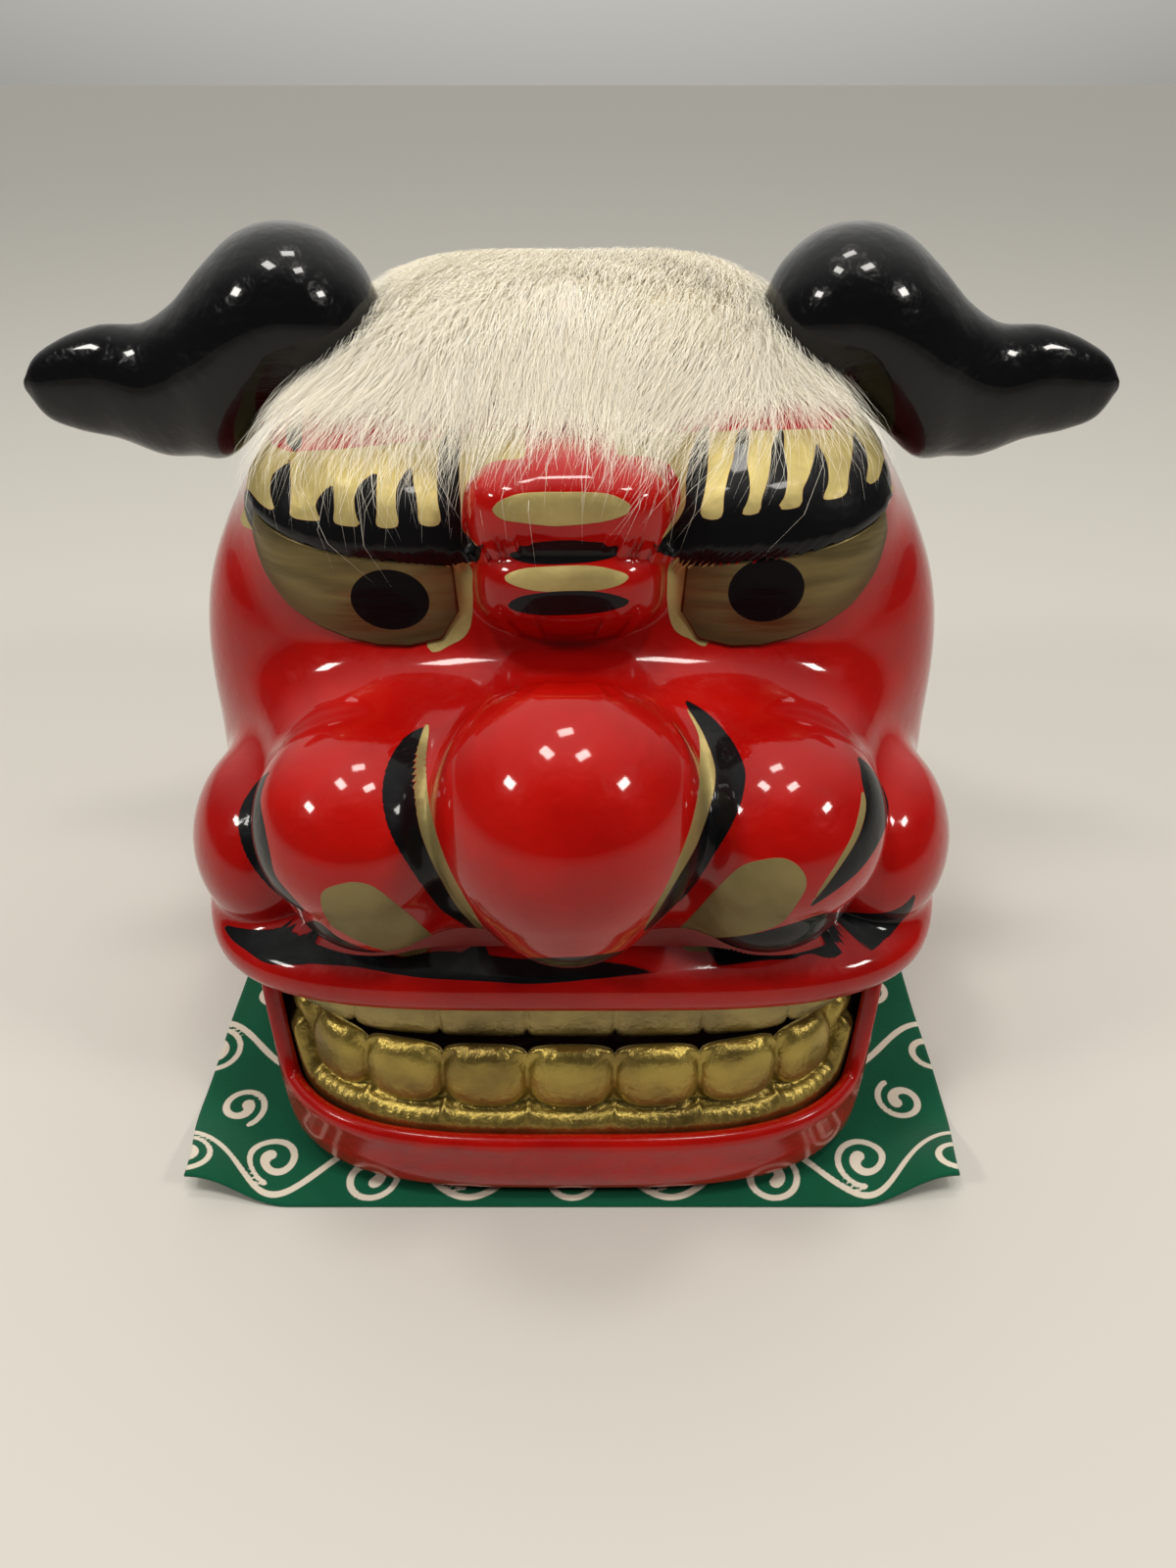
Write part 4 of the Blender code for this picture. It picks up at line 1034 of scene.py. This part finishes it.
outer = eye_grid(*EYE_GRID, EYE_PROUD)
inner = eye_grid(*EYE_GRID, -EYE_WALL)
for side, sign in (("left", 1), ("right", -1)):
    order = slice(None, None, sign)
    vertices, faces = shell_between((outer * [sign, 1, 1])[:, order], (inner * [sign, 1, 1])[:, order])
    gilt = Finish("eye_gold_" + side)
    clear_coat(gilt)
    pupil = gilt.attribute("pupil").rises(-0.15, 0.15)
    # low paints the lower part of the gold darker and redder: painted shade and a painted reflection of the
    # red skin.
    painted_shade_below = gilt.attribute("low")
    streak = gilt.noise(120, 3.0, stretch=(0.25, 0.25, 1.6))
    gold_shaded_below = gilt.mix(painted_shade_below, (0.20, 0.15, 0.062), (0.105, 0.047, 0.021))
    tone = gilt.mix(streak.rises(0.35, 0.7), gold_shaded_below, (0.125, 0.095, 0.04))
    gilt.set(
        Base_Color=gilt.mix(pupil, gilt.mix(painted_shade_below, tone, gold_shaded_below), (0.004, 0.003, 0.004)),
        Metallic=0.75 * (1 - pupil),
        Roughness=0.34 + 0.14 * streak,
        Coat_Weight=0.12 - 0.06 * pupil,
        Normal=gilt.bump(streak + 0.5 * gilt.noise(60, 2.0), 0.0006),
    )
    # low is full at the eye's lower edge and fades upwards: painted shade and painted reflection of the red
    # skin.
    height = np.repeat(np.linspace(0, 1, EYE_GRID[1]), EYE_GRID[0])
    low = np.tile(0.75 * (1 - smooth_step(0.1, 0.55, height)), 2)
    pupil_depth = inside_oval(drawn_at(vertices), *PUPILS[side])
    eye = piece("eye_gold_" + side, vertices, faces, [gilt.material], pupil=pupil_depth, low=low)
    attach(eye, "head")
    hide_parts("eye_" + side)


# Ears: papier-mache in black lacquer, fat at the root, then drooping and flatter towards a rounded tip. Each
# is glued on high at the side of the head, over the edge of the fur.
EAR_REACH = 132 * MM
EAR_HEIGHT = 80 * MM
EAR_DEPTH = 60 * MM
EAR_ROOT_X = 68 * MM
EAR_BASE_Z = 227 * MM
EAR_Y = 47 * MM
EAR_SECTIONS = (
    # x from the root, middle and half height, half depth, as shares of the reach, height and depth
    (0.00, 0.58, 0.12, 0.16),
    (0.05, 0.60, 0.25, 0.34),
    (0.13, 0.63, 0.33, 0.46),
    (0.23, 0.64, 0.36, 0.50),
    (0.36, 0.54, 0.41, 0.49),
    (0.46, 0.41, 0.41, 0.42),
    (0.55, 0.34, 0.34, 0.33),
    (0.63, 0.30, 0.30, 0.27),
    (0.77, 0.33, 0.25, 0.19),
    (0.88, 0.32, 0.20, 0.14),
    (0.96, 0.31, 0.13, 0.09),
    (1.00, 0.32, 0.03, 0.03),
)
EAR_RINGS = 110
EAR_COLUMNS = 84

# Each number of a section runs along the ear on a cubic Hermite curve, with slopes from its neighbours.
sections = np.array(EAR_SECTIONS)
knots = np.concatenate([[0], np.cumsum(np.hypot(np.diff(sections[:, 0]), 0.6 * np.diff(sections[:, 2])))])
slopes = np.gradient(sections, knots, axis=0)
fine = np.linspace(0, knots[-1], EAR_RINGS)
index = np.clip(np.searchsorted(knots, fine, side="right") - 1, 0, len(knots) - 2)
span = (knots[index + 1] - knots[index])[:, None]
t = (fine[:, None] - knots[index][:, None]) / span
curve = (
    (2 * t**3 - 3 * t**2 + 1) * sections[index]
    + (t**3 - 2 * t**2 + t) * span * slopes[index]
    + (3 * t**2 - 2 * t**3) * sections[index + 1]
    + (t**3 - t**2) * span * slopes[index + 1]
)
turn = np.linspace(0, 2 * math.pi, EAR_COLUMNS, endpoint=False)
for side, sign in (("left", 1), ("right", -1)):
    ring_x = np.broadcast_to(EAR_ROOT_X + curve[:, :1] * EAR_REACH, (len(fine), len(turn)))
    ring_y = EAR_Y + curve[:, 3:] * EAR_DEPTH * np.cos(sign * turn)
    ring_z = EAR_BASE_Z + EAR_HEIGHT * (curve[:, 1:2] + curve[:, 2:3] * np.sin(sign * turn))
    rows = np.stack([sign * ring_x, ring_y, ring_z], axis=2)
    vertices, faces = closed_rows(rows, rows[0].mean(axis=0), rows[-1].mean(axis=0))
    ear_black = Finish("ear_black_" + side)
    clear_coat(ear_black)
    lumps = ear_black.noise(55, 3.0) + 0.3 * ear_black.noise(190, 2.0)
    ear_black.set(
        Base_Color=BLACK_LACQUER,
        Roughness=0.2 + 0.1 * ear_black.noise(60, 2.0),
        Coat_Weight=0.8,
        Normal=ear_black.bump(lumps, 0.0018),
    )
    ear = piece("ear_shell_" + side, vertices, faces, [ear_black.material])
    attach(ear, "head")
    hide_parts("ear_" + side)


# Fur: long straight cream pile on a woven backing, cut to shape and glued over the crown. It is combed
# forward from the back, and its fringe falls over the brows.
CROWN_MIDDLE = (0, 0.755, 0.549)
FUR_DEPTH = 7 * MM
FUR_EDGE = 1.5 * MM
SIDE_VOLUME = 1.0
# The place that the pile is combed from, and how far the comb turns inwards over the left brow.
COMB_FROM = np.array([0.012, 0.150, 0.275])
COMB_IN = np.array([0.35, 0, 0])
STRAND_SETS = (
    # name, strands, share of the crown left out, joints along one, half width and length
    ("pile_1", 14500, 0.0, 3, 0.15 * MM, 26 * MM),
    ("pile_2", 14500, 0.0, 3, 0.15 * MM, 30 * MM),
    ("fringe_1", 9500, 0.5, 4, 0.10 * MM, 56 * MM),
    ("fringe_2", 3500, 0.6, 5, 0.09 * MM, 72 * MM),
)
BACKING_COLUMNS = 160
BACKING_ROWS = 28
CROWN_MAP = (181, 81)

crown_middle = head_place(*CROWN_MIDDLE)
map_azimuth = np.linspace(-math.pi, math.pi, CROWN_MAP[0])
map_polar = np.linspace(0, math.radians(100), CROWN_MAP[1])
grid_azimuth, grid_polar = np.meshgrid(map_azimuth, map_polar)
ways = directions_from(grid_azimuth.ravel(), math.pi / 2 - grid_polar.ravel())
skin_under = skin_points(crown_middle, ways, 0.0, 20 * MM)
reach_map = np.linalg.norm(skin_under - crown_middle, axis=1).reshape(grid_polar.shape)


def over_crown(azimuth, polar, height):
    """Points over the crown by bilinear reading of the skin's reach, plus a height above it."""
    column = (azimuth + math.pi) % (2 * math.pi) / (2 * math.pi) * (len(map_azimuth) - 1)
    row = np.clip(polar / map_polar[-1] * (len(map_polar) - 1), 0, len(map_polar) - 1.001)
    c, r = np.floor(column).astype(int), np.floor(row).astype(int)
    c = np.minimum(c, len(map_azimuth) - 2)
    u, v = column - c, row - r
    reach = (reach_map[r, c] * (1 - u) + reach_map[r, c + 1] * u) * (1 - v)
    reach += (reach_map[r + 1, c] * (1 - u) + reach_map[r + 1, c + 1] * u) * v
    ways = directions_from(azimuth, math.pi / 2 - polar)
    return crown_middle + (reach + height)[..., None] * ways


def fur_border(azimuth):
    """How far down the backing reaches from the crown, as a polar angle."""
    away = np.abs((azimuth + math.pi) % (2 * math.pi) - math.pi)
    brow_side = smooth_step(math.radians(115), math.radians(62), away)
    bridge_side = smooth_step(math.radians(55), 0, away)
    return np.radians(37 + 19 * brow_side - 26 * bridge_side)


base_azimuth = np.linspace(-math.pi, math.pi, BACKING_COLUMNS, endpoint=False)
base_share = np.concatenate([np.linspace(0.03, 0.9, BACKING_ROWS), [0.95, 0.98, 1.0]])
border = fur_border(base_azimuth) * 0.97
polar = base_share[:, None] * border
level = FUR_EDGE * 0.3 + 0.3 * FUR_DEPTH * (1 - base_share[:, None] ** 3) + 0 * polar
spread = np.broadcast_to(base_azimuth, polar.shape)
outer = over_crown(spread, polar, level)
inner = over_crown(spread, polar, 0 * level - 0.5 * MM)
rows = np.concatenate([inner, outer[::-1]])
vertices, faces = closed_rows(rows, inner[0].mean(axis=0), outer[0].mean(axis=0))
faces = [face[::-1] for face in faces]
pile = Finish("fur_backing")
tuft = pile.noise(420, 3.0, stretch=(1.0, 0.2, 0.3))
pile.set(
    Base_Color=pile.mix(tuft, (0.80, 0.70, 0.54), (0.92, 0.85, 0.70)),
    Roughness=0.9,
    Normal=pile.bump(tuft, 0.001),
)
fur_backing = piece("fur_backing", vertices, faces, [pile.material])
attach(fur_backing, "head")
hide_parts("fur_patch")

hair = Finish("fur_hair")
hair.set(
    Base_Color=hair.mix(hair.attribute("tone"), (0.97, 0.90, 0.74), (1.0, 0.97, 0.88)),
    Roughness=0.5,
)


def strands(count, bare, joints, half_width, length, seed):
    """Points, faces and a tone for each point of tapered flat three-sided hairs. Their roots are scattered
    over the backing, and each path steps away from where the pile is combed from, just above the crown."""
    draw = np.random.default_rng(seed)
    azimuth = draw.uniform(-math.pi, math.pi, count)
    share = np.sqrt(draw.uniform(bare, 1, count))
    ahead = 0.5 + 0.5 * np.cos(azimuth)
    reach = draw.normal(length, 0.2 * length, count).clip(0.4 * length, 1.7 * length)
    reach *= 0.45 + 0.55 * ahead - 0.12 * np.sin(azimuth) * ahead
    step = np.linspace(0, 1, joints)
    polar = share * fur_border(azimuth) * 0.98
    lift = draw.uniform(0.35, 1, count) * FUR_DEPTH * (1 - 0.62 * ahead * smooth_step(0.6, 1.0, share))
    lift *= 1 + SIDE_VOLUME * np.sin(azimuth) ** 2 * smooth_step(0.45, 0.9, share)
    stray = draw.normal(0, 0.05 + 0.09 * share, (3, count)).T
    stray[:, 0] += 0.09 * np.sin(24 * azimuth + 3 * np.sin(7 * azimuth) + 4 * share)
    middle = []
    for rise in np.sin(math.pi * (0.06 + 0.6 * step)):
        middle.append(over_crown(azimuth, polar, 0.3 * MM + lift * rise))
        comb = middle[-1] - COMB_FROM
        comb /= np.linalg.norm(comb, axis=1)[:, None]
        across = middle[-1][:, :1]
        comb += stray - COMB_IN * smooth_step(0, 30 * MM, across) * smooth_step(85 * MM, 50 * MM, across)
        offset = middle[-1] + comb * (reach / (joints - 1))[:, None] - crown_middle
        azimuth = np.arctan2(offset[:, 0], -offset[:, 1])
        polar = np.arctan2(np.hypot(offset[:, 0], offset[:, 1]), offset[:, 2])
    middle = np.stack(middle, axis=1)
    along = np.gradient(middle, axis=1)
    along /= np.linalg.norm(along, axis=2)[..., None]
    across = np.cross(along, middle - crown_middle)
    across /= np.linalg.norm(across, axis=2)[..., None]
    above = np.cross(across, along)
    width = half_width * (1 - 0.75 * step**2)[None, :-1, None]
    sides = [
        middle[:, :-1] + width * (math.cos(a) * across[:, :-1] + 0.4 * math.sin(a) * above[:, :-1])
        for a in np.radians([-30, 90, 210])
    ]
    body = np.stack(sides, axis=2).reshape(count, -1, 3)
    body = np.concatenate([body, middle[:, -1:]], axis=1)
    one_hair = [[2, 1, 0]]
    tip = 3 * (joints - 1)
    for ring in range(0, tip - 3, 3):
        for a, b in ((0, 1), (1, 2), (2, 0)):
            one_hair += [[ring + a, ring + b, ring + b + 3], [ring + a, ring + b + 3, ring + a + 3]]
    one_hair += [[tip - 3 + a, tip - 3 + b, tip] for a, b in ((0, 1), (1, 2), (2, 0))]
    faces = np.array(one_hair)[None] + (tip + 1) * np.arange(count)[:, None, None]
    return body, faces.reshape(-1, 3).tolist(), np.repeat(draw.uniform(0, 1, count), tip + 1)


for seed, (name, *sizes) in enumerate(STRAND_SETS, start=1):
    vertices, faces, tone = strands(*sizes, seed)
    fur = piece("fur_" + name, vertices, faces, [hair.material], tone=tone)
    fur.data.shade_flat()
    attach(fur, "head")
